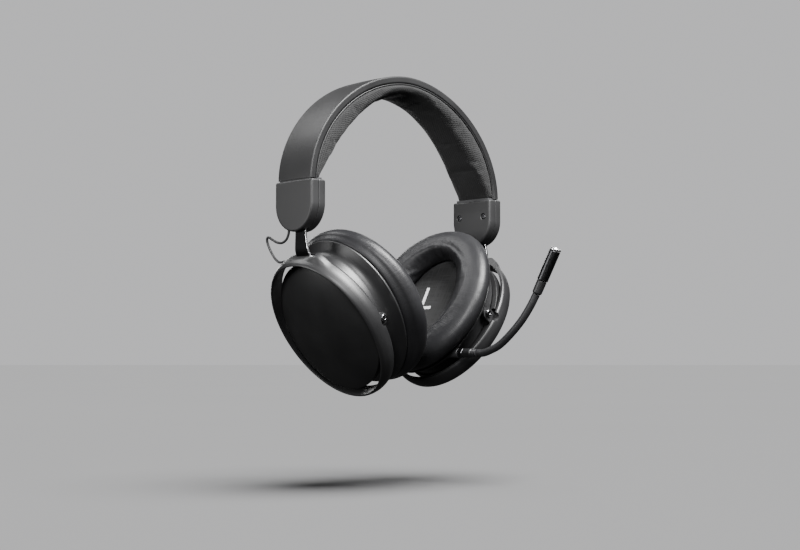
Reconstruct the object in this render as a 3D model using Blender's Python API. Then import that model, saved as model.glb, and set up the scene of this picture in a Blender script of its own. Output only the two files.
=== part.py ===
"""Over-ear gaming headset with ring yokes and a detachable boom microphone.

Frame: origin on the flat underside of the head cushion at its crown, +X to the wearer's left,
-Y to the front, +Z up. Lengths below are in millimetres and become metres when a mesh is made.
"""
import math

import bmesh
import bpy
from mathutils import Matrix, Vector

MM = 0.001

# Headband arch: a superellipse whose ends are the tops of the end caps.
ARCH_HALF_WIDTH = 84.0
ARCH_RISE = 72.3
ARCH_POWER = 1.89
ARCH_STEPS = 27
BAND_WIDTH = 31.0
COVER_WALL = 1.5
COVER_SIDE = 4.6
CUSHION_TOP = 4.9
# Depth of band and cushion together, from the arch's end (0) to its crown (1).
BAND_DEPTHS = ((0.0, 9.6), (0.1, 13.8), (0.2, 16.6), (0.4, 17.5), (0.6, 15.9), (0.8, 13.6), (1.0, 12.3))
SPRING_DEPTHS = (2.0, 2.8)
LINER_DEPTHS = (3.2, 4.4)
INNER_START = 14.0

# End caps, round at the bottom, in two halves that part at CAP_SEAM.
CAP_INNER_X = 73.0
CAP_OUTER_X = 84.5
CAP_SEAM = 78.8
CAP_TOP = -0.8
CAP_HALF_WIDTH = 17.2
CAP_STRAIGHT = 14.2
CAP_ROUND = 16.8
CAP_WALL = 2.0
CAP_SCREW = (11.0, -12.0)

# Yokes: ring, strap and pins, in axes that lean by RING_TILT about the pins.
# The left slider is fully in at rest, and the right one stands out by the difference in drop.
PIVOT_X = 46.7
PIVOT_DROP = {"left": 78.8, "right": 84.0}
RING_TILT = math.radians(34.5)
CUP_TILT = math.radians(28.2)
# Ring section as (s, half width, half height): outer face from the rim to the crisp edge by the
# lid, then back along the inner face.
RING = [(3.3, 42.5, 49.2), (4.3, 43.3, 49.9), (8.5, 43.9, 50.2), (12.4, 42.7, 49.3),
        (13.6, 41.8, 48.6), (14.2, 41.1, 48.0), (14.2, 40.4, 47.3), (13.2, 40.3, 47.1),
        (10.5, 41.0, 47.4), (3.3, 41.0, 47.3)]
# The strap narrows from its foot in the ring's top slot to its neck, and widens to the front.
STRAP_S = 4.9
STRAP_THICKNESS = 1.4
STRAP_X = 80.0
STRAP_FOOT = 45.9
STRAP_NECK = (-7.0, 2.4)
STRAP_FOOT_SPAN = (-9.4, 2.8)
STRAP_FLARE = 6.4
STRAP_TOP = 10.0
SLOT_FRONT = -14.0
SLOT_HEAD = 54.0
BOSS_S = (3.3, 9.4)
BOSS_Y = (-15.2, 5.0)
BOSS_H = (44.9, 48.6)
RIVET_S = 3.5
RIVET_HEIGHT = 47.3
RIVET_Y = {"front": -6.6, "rear": 0.0}
RIVET_RADIUS = 0.85
RIVET_LENGTH = 5.6
PIN_RADIUS = 1.5
PIN = [(31.5, PIN_RADIUS), (39.2, PIN_RADIUS), (39.2, 2.3), (40.2, 2.4), (40.7, 1.8)]
NOTCH_S = (2.0, 6.2)
NOTCH_HALF = 3.3
EAR_INNER = 36.4
EAR_OUTER = 38.9
EAR_RADIUS = 3.6
EAR_END = 8.7
EAR_ROOT_S = 6.4
EAR_ROOT_Y = 41.6

# Cups, in axes that lean by CUP_TILT about the same pins. s runs outward from the pins.
SHELL = [(-10.7, 44.3, 49.0), (-9.7, 44.3, 49.0), (-8.4, 41.8, 46.8), (-6.2, 38.3, 43.6),
         (-4.0, 36.1, 42.5), (-2.0, 35.4, 42.3), (4.2, 35.2, 42.3),
         (4.2, 32.9, 38.8), (-3.4, 33.0, 38.9), (-6.8, 36.0, 41.4), (-10.7, 41.4, 46.2)]
OUTER_CAP = [(15.0, 9.0, 10.0), (12.6, 25.6, 30.6), (8.6, 34.8, 40.7), (4.6, 35.1, 41.0),
             (4.6, 39.1, 43.2), (9.6, 39.3, 43.4), (11.2, 38.1, 42.3), (13.6, 33.0, 36.6),
             (16.2, 23.4, 26.2), (17.8, 9.0, 10.0)]
PAD = [(-13.3, 43.6, 47.6), (-16.5, 48.6, 50.6), (-20.0, 51.0, 51.6), (-24.0, 51.4, 50.9),
       (-26.4, 49.4, 47.8), (-28.0, 46.0, 44.8), (-29.1, 41.5, 42.4), (-29.1, 34.5, 38.2),
       (-28.0, 27.5, 34.6), (-25.5, 24.8, 32.7), (-13.3, 25.5, 32.5)]
BAFFLE = (-13.0, -11.0)
BAFFLE_SIZE = (43.0, 47.7)
SCRIM = [(-13.8, 24.9, 31.9), (-13.4, 24.9, 31.9)]
DRIVER_RADIUS = 20.2
CONTROL_S = -7.3
# The control pod swells out of the shell's front-to-rear waist behind the pads' flange.
POD_SIZE = (43.3, 47.4)
POD_FROM_Y = 31.0
POD_H = (-24.0, 26.0)
WHEEL_H = -15.0
WHEEL_Y = 37.4
WHEEL_SLOT = (1.9, 6.4)
PORT_H = 1.5
PORT_HALF_LENGTH = 3.0
PORT_Y = (35.4, 43.4)
BUTTON_HEIGHTS = {"power_button": 12.0, "mute_button": 20.5}
BUTTON_RADIUS = 2.6
BUTTON_ROOT = 34.8
BUTTON_PROUD = 1.0
SOCKET_S = -7.7
SOCKET_H = -33.4
SOCKET_MOUTH = -35.0
SOCKET_ROOT = 21.0
SOCKET_RADIUS = 3.0
BOARD = ((-1.4, -22.0, -25.0), (0.2, 22.0, 25.0))
BATTERY = ((-1.4, -17.0, -25.0), (4.0, 17.0, 25.0))

GAP = 0.3
ROUND = 32
ENDS = ((-1.0, "front"), (1.0, "rear"))

LOOKS = {
    "cover": ((0.020, 0.020, 0.022), 0.45, 0.0),
    "knit": ((0.025, 0.025, 0.028), 0.9, 0.0),
    "grey_plastic": ((0.075, 0.076, 0.080), 0.5, 0.0),
    "black_plastic": ((0.016, 0.016, 0.018), 0.5, 0.0),
    "steel": ((0.62, 0.62, 0.63), 0.25, 1.0),
    "leather": ((0.018, 0.018, 0.020), 0.55, 0.0),
    "scrim": ((0.012, 0.012, 0.013), 0.95, 0.0),
    "rubber": ((0.014, 0.014, 0.015), 0.6, 0.0),
    "board": ((0.02, 0.09, 0.04), 0.5, 0.0),
    "cell": ((0.45, 0.46, 0.48), 0.4, 0.3),
}


def clear_scene():
    for item in list(bpy.data.objects):
        bpy.data.objects.remove(item, do_unlink=True)


def make_looks():
    looks = {}
    for name, (color, roughness, metallic) in LOOKS.items():
        material = bpy.data.materials.new(name)
        material.use_nodes = True
        shader = material.node_tree.nodes["Principled BSDF"]
        shader.inputs["Base Color"].default_value = (*color, 1.0)
        shader.inputs["Roughness"].default_value = roughness
        shader.inputs["Metallic"].default_value = metallic
        looks[name] = material
    return looks


def make_frame(name, location, tilt, parent=None):
    """An empty whose origin lies on a joint's axis."""
    empty = bpy.data.objects.new(name, None)
    empty.location = Vector(location) * MM
    empty.rotation_euler = (0.0, tilt, 0.0)
    empty.parent = parent
    bpy.context.collection.objects.link(empty)
    return empty


def make_object(name, shape, look, parent=None):
    """Turns a bmesh in millimetres into an object, smooth-shaded, with its faces pointing out."""
    bmesh.ops.recalc_face_normals(shape, faces=shape.faces)
    mesh = bpy.data.meshes.new(name)
    bmesh.ops.scale(shape, vec=(MM, MM, MM), verts=shape.verts)
    shape.to_mesh(mesh)
    shape.free()
    mesh.shade_smooth()
    mesh.set_sharp_from_angle(angle=math.radians(35.0))
    item = bpy.data.objects.new(name, mesh)
    item.parent = parent
    if look is not None:
        mesh.materials.append(LOOK[look])
    bpy.context.collection.objects.link(item)
    return item


def loft(rings, closed=False):
    """A bmesh of rings of points joined in turn: capped at both ends, or closed end to end."""
    shape = bmesh.new()
    loops = [[shape.verts.new(point) for point in ring] for ring in rings]
    pairs = list(zip(loops, loops[1:] + loops[:1])) if closed else list(zip(loops, loops[1:]))
    for first, second in pairs:
        for i in range(len(first)):
            j = (i + 1) % len(first)
            shape.faces.new((first[i], first[j], second[j], second[i]))
    if not closed:
        shape.faces.new(loops[0])
        shape.faces.new(loops[-1])
    return shape


def box(low, high):
    shape = bmesh.new()
    bmesh.ops.create_cube(shape, size=1.0)
    size = Vector(high) - Vector(low)
    middle = (Vector(high) + Vector(low)) / 2.0
    bmesh.ops.scale(shape, vec=[abs(value) for value in size], verts=shape.verts)
    bmesh.ops.translate(shape, vec=middle, verts=shape.verts)
    return shape


def ring_points(centre, radius, across, up, count):
    """A circle of points about a centre."""
    return [
        centre + (across * math.cos(angle) + up * math.sin(angle)) * radius
        for angle in (math.tau * (i + 0.5) / count for i in range(count))
    ]


def turned(centre, axis, profile, count=12):
    """A round body about an axis, from (distance along the axis, radius) pairs."""
    axis = Vector(axis).normalized()
    across = axis.orthogonal().normalized()
    up = axis.cross(across)
    centre = Vector(centre)
    return loft([ring_points(centre + axis * along, radius, across, up, count)
                 for along, radius in profile])


def tube_ring(centre, axis, profile, count=16):
    """A round body with a hole: the profile runs round its section and closes."""
    axis = Vector(axis).normalized()
    across = axis.orthogonal().normalized()
    up = axis.cross(across)
    centre = Vector(centre)
    return loft([ring_points(centre + axis * along, radius, across, up, count)
                 for along, radius in profile], closed=True)


def ovals(side, profile, closed=False, count=ROUND):
    """Ovals square to s, from (s, half width, half height): a dished body or a ring."""
    rings = []
    for s, half_y, half_h in profile:
        angles = [math.tau * (i + 0.5) / count for i in range(count)]
        rings.append([(side * s, half_y * math.cos(a), half_h * math.sin(a)) for a in angles])
    return loft(rings, closed)


def cut(item, shape, name, operation="DIFFERENCE"):
    """Cuts item with a shape, or joins the shape to it."""
    tool = make_object(name, shape, None, item.parent)
    tool.hide_render = True
    tool.display_type = "WIRE"
    modifier = item.modifiers.new(name, "BOOLEAN")
    modifier.operation = operation
    modifier.solver = "EXACT"
    modifier.object = tool
    return tool


# ---------------------------------------------------------------- headband


def arch_point(angle):
    """The band's outer line and its outward direction, in arch axes (z = 0 at the ends)."""
    cosine, sine = math.cos(angle), math.sin(angle)
    x = ARCH_HALF_WIDTH * math.copysign(abs(cosine) ** (2.0 / ARCH_POWER), cosine)
    z = ARCH_RISE * abs(sine) ** (2.0 / ARCH_POWER)
    slope_x = math.copysign(abs(x / ARCH_HALF_WIDTH) ** (ARCH_POWER - 1.0), x) / ARCH_HALF_WIDTH
    slope_z = (z / ARCH_RISE) ** (ARCH_POWER - 1.0) / ARCH_RISE
    return Vector((x, 0.0, z)), Vector((slope_x, 0.0, slope_z)).normalized()


def arch_stations(start_height):
    """Points spaced evenly along the arch from start_height on one side to the other."""
    fine = [arch_point(math.pi * i / 4000.0) for i in range(4001)]
    fine = [item for item in fine if item[0].z >= start_height]
    along = [0.0]
    for (first, _), (second, _) in zip(fine, fine[1:]):
        along.append(along[-1] + (second - first).length)
    stations = []
    for i in range(ARCH_STEPS + 1):
        wanted = along[-1] * i / ARCH_STEPS
        nearest = min(range(len(along)), key=lambda k: abs(along[k] - wanted))
        share = min(i, ARCH_STEPS - i) / (ARCH_STEPS / 2.0)
        stations.append((*fine[nearest], share))
    return stations


def band_depth(share):
    for (low, first), (high, second) in zip(BAND_DEPTHS, BAND_DEPTHS[1:]):
        if share <= high:
            blend = (share - low) / (high - low)
            return first + (second - first) * blend
    return BAND_DEPTHS[-1][1]


def crown_height():
    """Height of the cushion's flat crown facet above the arch's ends."""
    point, outward, share = arch_stations(0.0)[ARCH_STEPS // 2]
    return (point - outward * band_depth(share)).z


def band_sweep(section, start_height=0.0):
    """Sweeps a section of (depth, y) points along the arch; section takes the local depth."""
    rings = []
    for point, outward, share in arch_stations(start_height):
        pairs = section(band_depth(share))
        base = point - Vector((0.0, 0.0, CROWN))
        rings.append([base - outward * depth + Vector((0.0, y, 0.0)) for depth, y in pairs])
    return loft(rings)


def mirrored(half):
    """A closed section from its +y half, listed from the outer face inward."""
    return half + [(depth, -y) for depth, y in reversed(half)]


def make_headband():
    edge = BAND_WIDTH / 2.0
    inner = edge - 1.4

    def cover(_):
        return mirrored([(0.0, edge - 1.3), (0.45, edge - 0.4), (1.4, edge), (COVER_SIDE, edge),
                         (COVER_SIDE, inner), (COVER_WALL, inner)])

    def cushion(depth):
        return mirrored([(CUSHION_TOP, edge - 0.4), (depth - 3.5, edge - 0.3),
                         (depth - 1.2, edge - 1.4), (depth - 0.3, edge - 3.6), (depth, edge - 6.5)])

    def strip(depths, half_width):
        return lambda _: mirrored([(depths[0], half_width), (depths[1], half_width)])

    make_object("headband_cover", band_sweep(cover), "cover")
    make_object("head_cushion", band_sweep(cushion), "knit")
    make_object("headband_spring", band_sweep(strip(SPRING_DEPTHS, 8.0), INNER_START), "steel")
    make_object("headband_liner", band_sweep(strip(LINER_DEPTHS, 13.4), INNER_START),
                "black_plastic")


def cap_outline(inset):
    """The cap's outline as (y, z) pairs, drawn in by inset."""
    straight = CAP_TOP - CAP_STRAIGHT
    points = [(CAP_HALF_WIDTH - inset, CAP_TOP - inset)]
    for i in range(13):
        angle = math.pi * i / 12.0
        points.append(((CAP_HALF_WIDTH - inset) * math.cos(angle),
                       straight - (CAP_ROUND - inset) * math.sin(angle)))
    points.append((-CAP_HALF_WIDTH + inset, CAP_TOP - inset))
    return points


def cap_body(side, layers):
    """Outlines stacked along x, from (x, inset) pairs."""
    return loft([[(side * x, y, z - CROWN) for y, z in cap_outline(inset)]
                 for x, inset in layers])


def make_end_cap(side, word):
    outer = make_object("end_cap_outer_" + word, cap_body(
        side, [(CAP_SEAM + GAP / 2.0, 0.0), (CAP_OUTER_X - 1.3, 0.0), (CAP_OUTER_X - 0.4, 0.4),
               (CAP_OUTER_X, 1.4)]), "grey_plastic")
    inner = make_object("end_cap_inner_" + word, cap_body(
        side, [(CAP_INNER_X, 1.7), (CAP_INNER_X + 0.5, 0.6), (CAP_INNER_X + 1.6, 0.0),
               (CAP_SEAM - GAP / 2.0, 0.0)]), "grey_plastic")
    strap_low = STRAP_X - STRAP_THICKNESS / 2.0 - GAP
    strap_high = STRAP_X + STRAP_THICKNESS / 2.0 + GAP
    cut(outer, cap_body(side, [(CAP_SEAM - 1.0, CAP_WALL), (CAP_OUTER_X - CAP_WALL, CAP_WALL)]),
        "cut_cap_outer_" + word)
    cut(inner, cap_body(side, [(CAP_INNER_X + CAP_WALL, CAP_WALL), (CAP_SEAM + 1.0, CAP_WALL)]),
        "cut_cap_inner_" + word)
    cut(outer, box((side * strap_low, STRAP_NECK[0] - 2 * GAP, CAP_TOP - 33.0 - CROWN),
                   (side * strap_high, STRAP_NECK[1] + 2 * GAP, CAP_TOP + 1.0 - CROWN)),
        "cut_strap_way_" + word)
    wire_way = turned((side * WIRE_START[0], WIRE_START[1], -33.0 - CROWN), (0.0, 0.0, 1.0),
                      [(0.0, 1.3), (8.0, 1.3)], 10)
    cut(outer, wire_way, "cut_wire_way_" + word)
    y, z = CAP_SCREW
    for sign, end in ENDS:
        centre = (side * CAP_INNER_X, sign * y, z - CROWN)
        axis = (side, 0.0, 0.0)
        cut(inner, turned(centre, axis, [(-1.0, 2.1), (1.1, 2.1), (1.1, 1.25), (4.0, 1.25)], 12),
            "cut_cap_screw_%s_%s" % (word, end))
        make_object("end_cap_screw_%s_%s" % (word, end),
                    turned(centre, axis, [(0.1, 1.6), (0.8, 1.8), (0.8, 0.9), (5.2, 0.9)], 12),
                    "steel")
    guide = make_object("slider_guide_" + word,
                        box((side * (strap_low - 2.0), STRAP_NECK[0] - 2.4, -26.0 - CROWN),
                            (side * (strap_high + 1.0), STRAP_NECK[1] + 2.4, -4.0 - CROWN)),
                        "black_plastic")
    cut(guide, box((side * strap_low, STRAP_NECK[0] - GAP, -30.0 - CROWN),
                   (side * strap_high, STRAP_NECK[1] + GAP, 0.0)), "cut_guide_" + word)


# ---------------------------------------------------------------- yokes


def strap_span(share):
    """Front and rear y of the strap: its foot's at 0, its neck's at 1."""
    return [foot + (neck - foot) * share for foot, neck in zip(STRAP_FOOT_SPAN, STRAP_NECK)]


def strap_points(side, drop):
    """Strap sections (centre, (front y, rear y), run), from the foot in the ring to the top."""
    down = Vector((-side * math.sin(RING_TILT), 0.0, math.cos(RING_TILT)))
    bend_h = (STRAP_X - PIVOT_X - STRAP_S * math.cos(RING_TILT)) / math.sin(RING_TILT)
    bend = Vector((side * STRAP_S, 0.0, bend_h))
    bend_z = -drop - STRAP_S * math.sin(RING_TILT) + bend_h * math.cos(RING_TILT)
    top = bend + down * (STRAP_TOP - (drop - PIVOT_DROP["left"]) - bend_z)
    foot = Vector((side * STRAP_S, 0.0, STRAP_FOOT))
    lean = Vector((0.0, 0.0, 1.0))
    rows = [(foot, strap_span(0.0), lean), (bend - lean * 2.0, strap_span(0.0), lean)]
    for i in range(1, 4):
        turn = (lean * (4 - i) + down * i).normalized()
        blend = i / 4.0
        middle = (bend - lean * 2.0) * (1 - blend) ** 2 + bend * 2 * blend * (1 - blend)
        middle += (bend + down * 2.0) * blend ** 2
        rows.append((middle, strap_span(0.3 * blend), turn))
    tip = (STRAP_NECK[0] + 1.5, STRAP_NECK[1] - 1.5)
    rows += [(bend + down * 2.0, strap_span(0.35), down),
             (bend + down * STRAP_FLARE, STRAP_NECK, down), (top - down * 1.5, STRAP_NECK, down),
             (top, tip, down)]
    return rows


def make_strap(side, word, frame):
    rings = []
    for centre, (front, rear), direction in strap_points(side, PIVOT_DROP[word]):
        thick = Vector((direction.z, 0.0, -direction.x)) * (STRAP_THICKNESS / 2.0)
        low, high = Vector((0.0, front, 0.0)), Vector((0.0, rear, 0.0))
        rings.append([centre - thick + low, centre + thick + low,
                      centre + thick + high, centre - thick + high])
    strap = make_object("size_strap_" + word, loft(rings), "steel", frame)
    bore = RIVET_RADIUS + GAP
    for end, y in RIVET_Y.items():
        centre = (side * RIVET_S, y, RIVET_HEIGHT)
        cut(strap, turned(centre, (side, 0.0, 0.0), [(-1.0, bore), (5.0, bore)], 10),
            "cut_strap_rivet_%s_%s" % (word, end))
        make_object("strap_rivet_%s_%s" % (word, end),
                    turned(centre, (side, 0.0, 0.0), [(0.0, RIVET_RADIUS),
                                                      (RIVET_LENGTH, RIVET_RADIUS)], 10),
                    "steel", frame)


def make_ring(side, word, frame):
    ring = make_object("yoke_ring_" + word, ovals(side, RING, closed=True), "black_plastic", frame)
    boss = box((side * BOSS_S[0], BOSS_Y[0], BOSS_H[0]), (side * BOSS_S[1], BOSS_Y[1], BOSS_H[1]))
    cut(ring, boss, "join_boss_" + word, "UNION")
    slot = box((side * (STRAP_S - STRAP_THICKNESS / 2.0 - GAP), SLOT_FRONT, STRAP_FOOT - GAP),
               (side * (STRAP_S + STRAP_THICKNESS / 2.0 + GAP), STRAP_FOOT_SPAN[1] + GAP,
                SLOT_HEAD))
    cut(ring, slot, "cut_strap_slot_" + word)
    bore = RIVET_RADIUS + GAP
    for end, y in RIVET_Y.items():
        centre = (side * RIVET_S, y, RIVET_HEIGHT)
        cut(ring, turned(centre, (side, 0.0, 0.0), [(-2.0, bore), (8.0, bore)], 10),
            "cut_ring_rivet_%s_%s" % (word, end))
    hole = PIN_RADIUS + GAP
    for sign, end in ENDS:
        notch = box((side * NOTCH_S[0], sign * (EAR_OUTER + GAP), -NOTCH_HALF),
                    (side * NOTCH_S[1], sign * (EAR_OUTER + 7.0), NOTCH_HALF))
        cut(ring, notch, "cut_pin_notch_%s_%s" % (word, end))
        cut(ring, ear_shape(side, sign), "join_ear_%s_%s" % (word, end), "UNION")
        axis = (0.0, sign, 0.0)
        cut(ring, turned((0.0, sign * (EAR_INNER - 1.4), 0.0), axis, [(0.0, hole), (6.0, hole)]),
            "cut_ear_%s_%s" % (word, end))
        make_object("pivot_pin_%s_%s" % (word, end), turned((0.0, 0.0, 0.0), axis, PIN), "steel",
                    frame)


def ear_shape(side, sign):
    """A tab that carries a pin: round about the pin, with its root in the ring's wall."""
    outline = [(EAR_RADIUS * math.cos(a), EAR_RADIUS * math.sin(a))
               for a in (math.pi / 2.0 + math.pi * i / 8.0 for i in range(9))]
    outline += [(EAR_END, -EAR_RADIUS), (EAR_END, EAR_RADIUS)]
    tab = loft([[(side * s, sign * y, h) for s, h in outline] for y in (EAR_INNER, EAR_OUTER)])
    root = box((side * EAR_ROOT_S, sign * (EAR_OUTER - 0.6), -EAR_RADIUS + 0.2),
               (side * (EAR_END - 0.2), sign * EAR_ROOT_Y, EAR_RADIUS - 0.2))
    tool = make_object("ear_tab", tab, None)
    cut(tool, root, "ear_root", "UNION")
    graph = bpy.context.evaluated_depsgraph_get()
    shape = bmesh.new()
    shape.from_mesh(tool.evaluated_get(graph).to_mesh())
    bmesh.ops.scale(shape, vec=(1 / MM, 1 / MM, 1 / MM), verts=shape.verts)
    for item in (tool, bpy.data.objects["ear_root"]):
        bpy.data.objects.remove(item, do_unlink=True)
    return shape


# ---------------------------------------------------------------- signal wires

WIRE_START = (80.0, 9.0)
WIRE_RADIUS = 0.8
# Each loop's route from the cap's underside to the ring, in arch axes, for a ring whose drop is
# WIRE_DROP. The last five points follow the ring when a slider stands elsewhere.
WIRE_DROP = 81.0
WIRE_ROUTE = ((80.0, 9.0, -29.2), (80.0, 9.6, -32.6), (80.0, 11.8, -35.8), (80.0, 15.6, -37.4),
              (80.0, 20.0, -37.0), (80.0, 24.6, -35.2), (79.8, 28.4, -33.4), (79.4, 30.9, -33.6),
              (78.8, 31.3, -36.0), (77.8, 29.6, -39.8), (76.7, 27.2, -43.2), (75.9, 24.2, -45.6),
              (75.6, 21.0, -46.6))
WIRE_FOLLOWS = (0.0,) * 8 + (0.2, 0.5, 0.8, 1.0, 1.0)


def smooth_route(points, steps):
    """A Catmull-Rom curve through the points."""
    points = [Vector(point) for point in points]
    ends = [points[0] * 2 - points[1], *points, points[-1] * 2 - points[-2]]
    route = []
    for a, b, c, d in zip(ends, ends[1:], ends[2:], ends[3:]):
        for i in range(steps):
            t = i / steps
            route.append(0.5 * (2 * b + (c - a) * t + (2 * a - 5 * b + 4 * c - d) * t ** 2
                                + (3 * b - a - 3 * c + d) * t ** 3))
    return [*route, points[-1]]


def make_cable(name, route, radius, look, parent=None):
    curve = bpy.data.curves.new(name, "CURVE")
    curve.dimensions = "3D"
    curve.bevel_depth = radius * MM
    curve.bevel_resolution = 2
    curve.use_fill_caps = True
    spline = curve.splines.new("POLY")
    spline.points.add(len(route) - 1)
    for point, place in zip(spline.points, route):
        point.co = (*(place * MM), 1.0)
    curve.materials.append(LOOK[look])
    item = bpy.data.objects.new(name, curve)
    item.parent = parent
    bpy.context.collection.objects.link(item)
    return item


def make_wire(side, word):
    lower = PIVOT_DROP[word] - WIRE_DROP
    route = [Vector((side * x, y, z - CROWN - share * lower))
             for (x, y, z), share in zip(WIRE_ROUTE, WIRE_FOLLOWS)]
    make_cable("signal_wire_" + word, smooth_route(route, 2), WIRE_RADIUS, "rubber")


# ---------------------------------------------------------------- cups


def make_cup(side, word, frame):
    shell = make_object("cup_shell_" + word, ovals(side, SHELL, closed=True), "black_plastic",
                        frame)
    for sign, end in ENDS:
        cut(shell, turned((0.0, sign * 30.0, 0.0), (0.0, sign, 0.0),
                          [(0.0, PIN_RADIUS + GAP), (8.0, PIN_RADIUS + GAP)]),
            "cut_shell_pin_%s_%s" % (word, end))
    lid = make_object("outer_cap_" + word, ovals(side, OUTER_CAP), "black_plastic", frame)
    for sign, end in ENDS:
        cut(lid, box((side * 3.0, sign * (EAR_INNER - 0.4), -6.3),
                     (side * (EAR_END + 1.0), sign * (EAR_INNER + 8.0), 6.3)),
            "cut_ear_room_%s_%s" % (word, end))
    make_object("ear_pad_" + word, ovals(side, PAD, closed=True), "leather", frame)
    front, back = BAFFLE
    hole = DRIVER_RADIUS + GAP
    make_object("baffle_" + word, ovals(side, [(front, *BAFFLE_SIZE), (back, *BAFFLE_SIZE),
                                               (back, hole, hole), (front, hole, hole)],
                                        closed=True), "black_plastic", frame)
    make_object("scrim_" + word, ovals(side, SCRIM), "scrim", frame)
    axis = (side, 0.0, 0.0)
    make_object("driver_basket_" + word,
                turned((0.0, 0.0, 0.0), axis, [(-13.0, DRIVER_RADIUS), (-9.4, DRIVER_RADIUS),
                                               (-8.6, 18.5), (-7.4, 13.0)], 26),
                "black_plastic", frame)
    make_object("driver_magnet_" + word,
                turned((0.0, 0.0, 0.0), axis, [(-7.1, 9.0), (-3.2, 9.0), (-2.6, 8.4)], 20),
                "steel", frame)
    return shell


def sided_box(side, corners):
    """A box between two corners given as (s, y, h)."""
    return box(*[(side * s, y, h) for s, y, h in corners])


def make_left_controls(side, shell, frame):
    make_object("circuit_board", sided_box(side, BOARD), "board", frame)
    pod_y, pod_h = POD_SIZE
    pod = make_object("control_pod", ovals(side, [(-10.6, pod_y, pod_h), (-4.6, pod_y, pod_h),
                                                  (-4.0, pod_y - 0.6, pod_h - 0.6)]), None, frame)
    cut(pod, sided_box(side, ((-12.0, POD_FROM_Y, POD_H[0]), (0.0, 50.0, POD_H[1]))), "pod_limit",
        "INTERSECT")
    pod.hide_render = True
    pod.display_type = "WIRE"
    join = shell.modifiers.new("pod", "BOOLEAN")
    join.operation = "UNION"
    join.solver = "EXACT"
    join.object = pod
    half_s, half_h = WHEEL_SLOT
    cut(shell, sided_box(side, ((CONTROL_S - half_s, 28.0, WHEEL_H - half_h),
                                (CONTROL_S + half_s, 52.0, WHEEL_H + half_h))), "cut_wheel_slot")
    make_object("volume_wheel", turned((side * (CONTROL_S - 1.5), WHEEL_Y, WHEEL_H),
                                       (side, 0.0, 0.0),
                                       [(0.0, 5.4), (0.5, 6.0), (2.5, 6.0), (3.0, 5.4)], 24),
                "rubber", frame)
    bore = BUTTON_RADIUS + GAP
    for name, height in BUTTON_HEIGHTS.items():
        face = pod_y * math.sqrt(1.0 - (height / pod_h) ** 2) + BUTTON_PROUD
        cut(shell, turned((side * CONTROL_S, 30.0, height), (0.0, 1.0, 0.0),
                          [(0.0, bore), (18.0, bore)]), "cut_" + name)
        make_object(name, turned((side * CONTROL_S, 0.0, height), (0.0, 1.0, 0.0),
                                 [(BUTTON_ROOT, BUTTON_RADIUS), (face - 0.4, BUTTON_RADIUS),
                                  (face, BUTTON_RADIUS - 0.5)]), "grey_plastic", frame)
    inner, outer = PORT_Y
    cut(shell, stadium(side, 1.9, inner - 3.6, outer + 4.4), "cut_port")
    port = make_object("charge_port", stadium(side, 1.6, inner, outer), "steel", frame)
    cut(port, stadium(side, 1.2, inner + 1.4, outer + 1.4), "cut_port_mouth")
    socket_axis = (0.0, -1.0, 0.0)
    socket_at = (side * SOCKET_S, 0.0, SOCKET_H)
    bore = SOCKET_RADIUS + GAP
    cut(shell, turned(socket_at, socket_axis, [(SOCKET_ROOT - 1.0, bore), (44.0, bore)]),
        "cut_socket")
    make_object("mic_socket", tube_ring(socket_at, socket_axis,
                                        [(SOCKET_ROOT, SOCKET_RADIUS),
                                         (-SOCKET_MOUTH, SOCKET_RADIUS),
                                         (-SOCKET_MOUTH, 2.05), (SOCKET_ROOT, 2.05)]),
                "black_plastic", frame)


def stadium(side, radius, y_low, y_high):
    """A slot-shaped prism along y for the charge port, long in h."""
    outline = []
    for sign in (1.0, -1.0):
        for i in range(7):
            angle = math.pi * i / 6.0
            outline.append((sign * radius * math.cos(angle),
                            sign * (PORT_HALF_LENGTH + radius * math.sin(angle))))
    return loft([[(side * CONTROL_S + s, y, PORT_H + h) for s, h in outline]
                 for y in (y_low, y_high)])


# ---------------------------------------------------------------- microphone

# The boom's centre line, in arch axes. It starts in line with the plug.
BOOM_ROUTE = ((24.5, -51.4, -104.9), (24.6, -55.0, -104.6), (24.9, -60.0, -103.2),
              (25.9, -67.5, -99.8), (26.9, -76.0, -93.0), (28.2, -84.0, -84.6),
              (29.4, -90.0, -76.0), (30.4, -93.8, -69.0))
CAPSULE_END = (34.0, -106.6, -41.3)
GOOSENECK_RADIUS = 2.4


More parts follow.
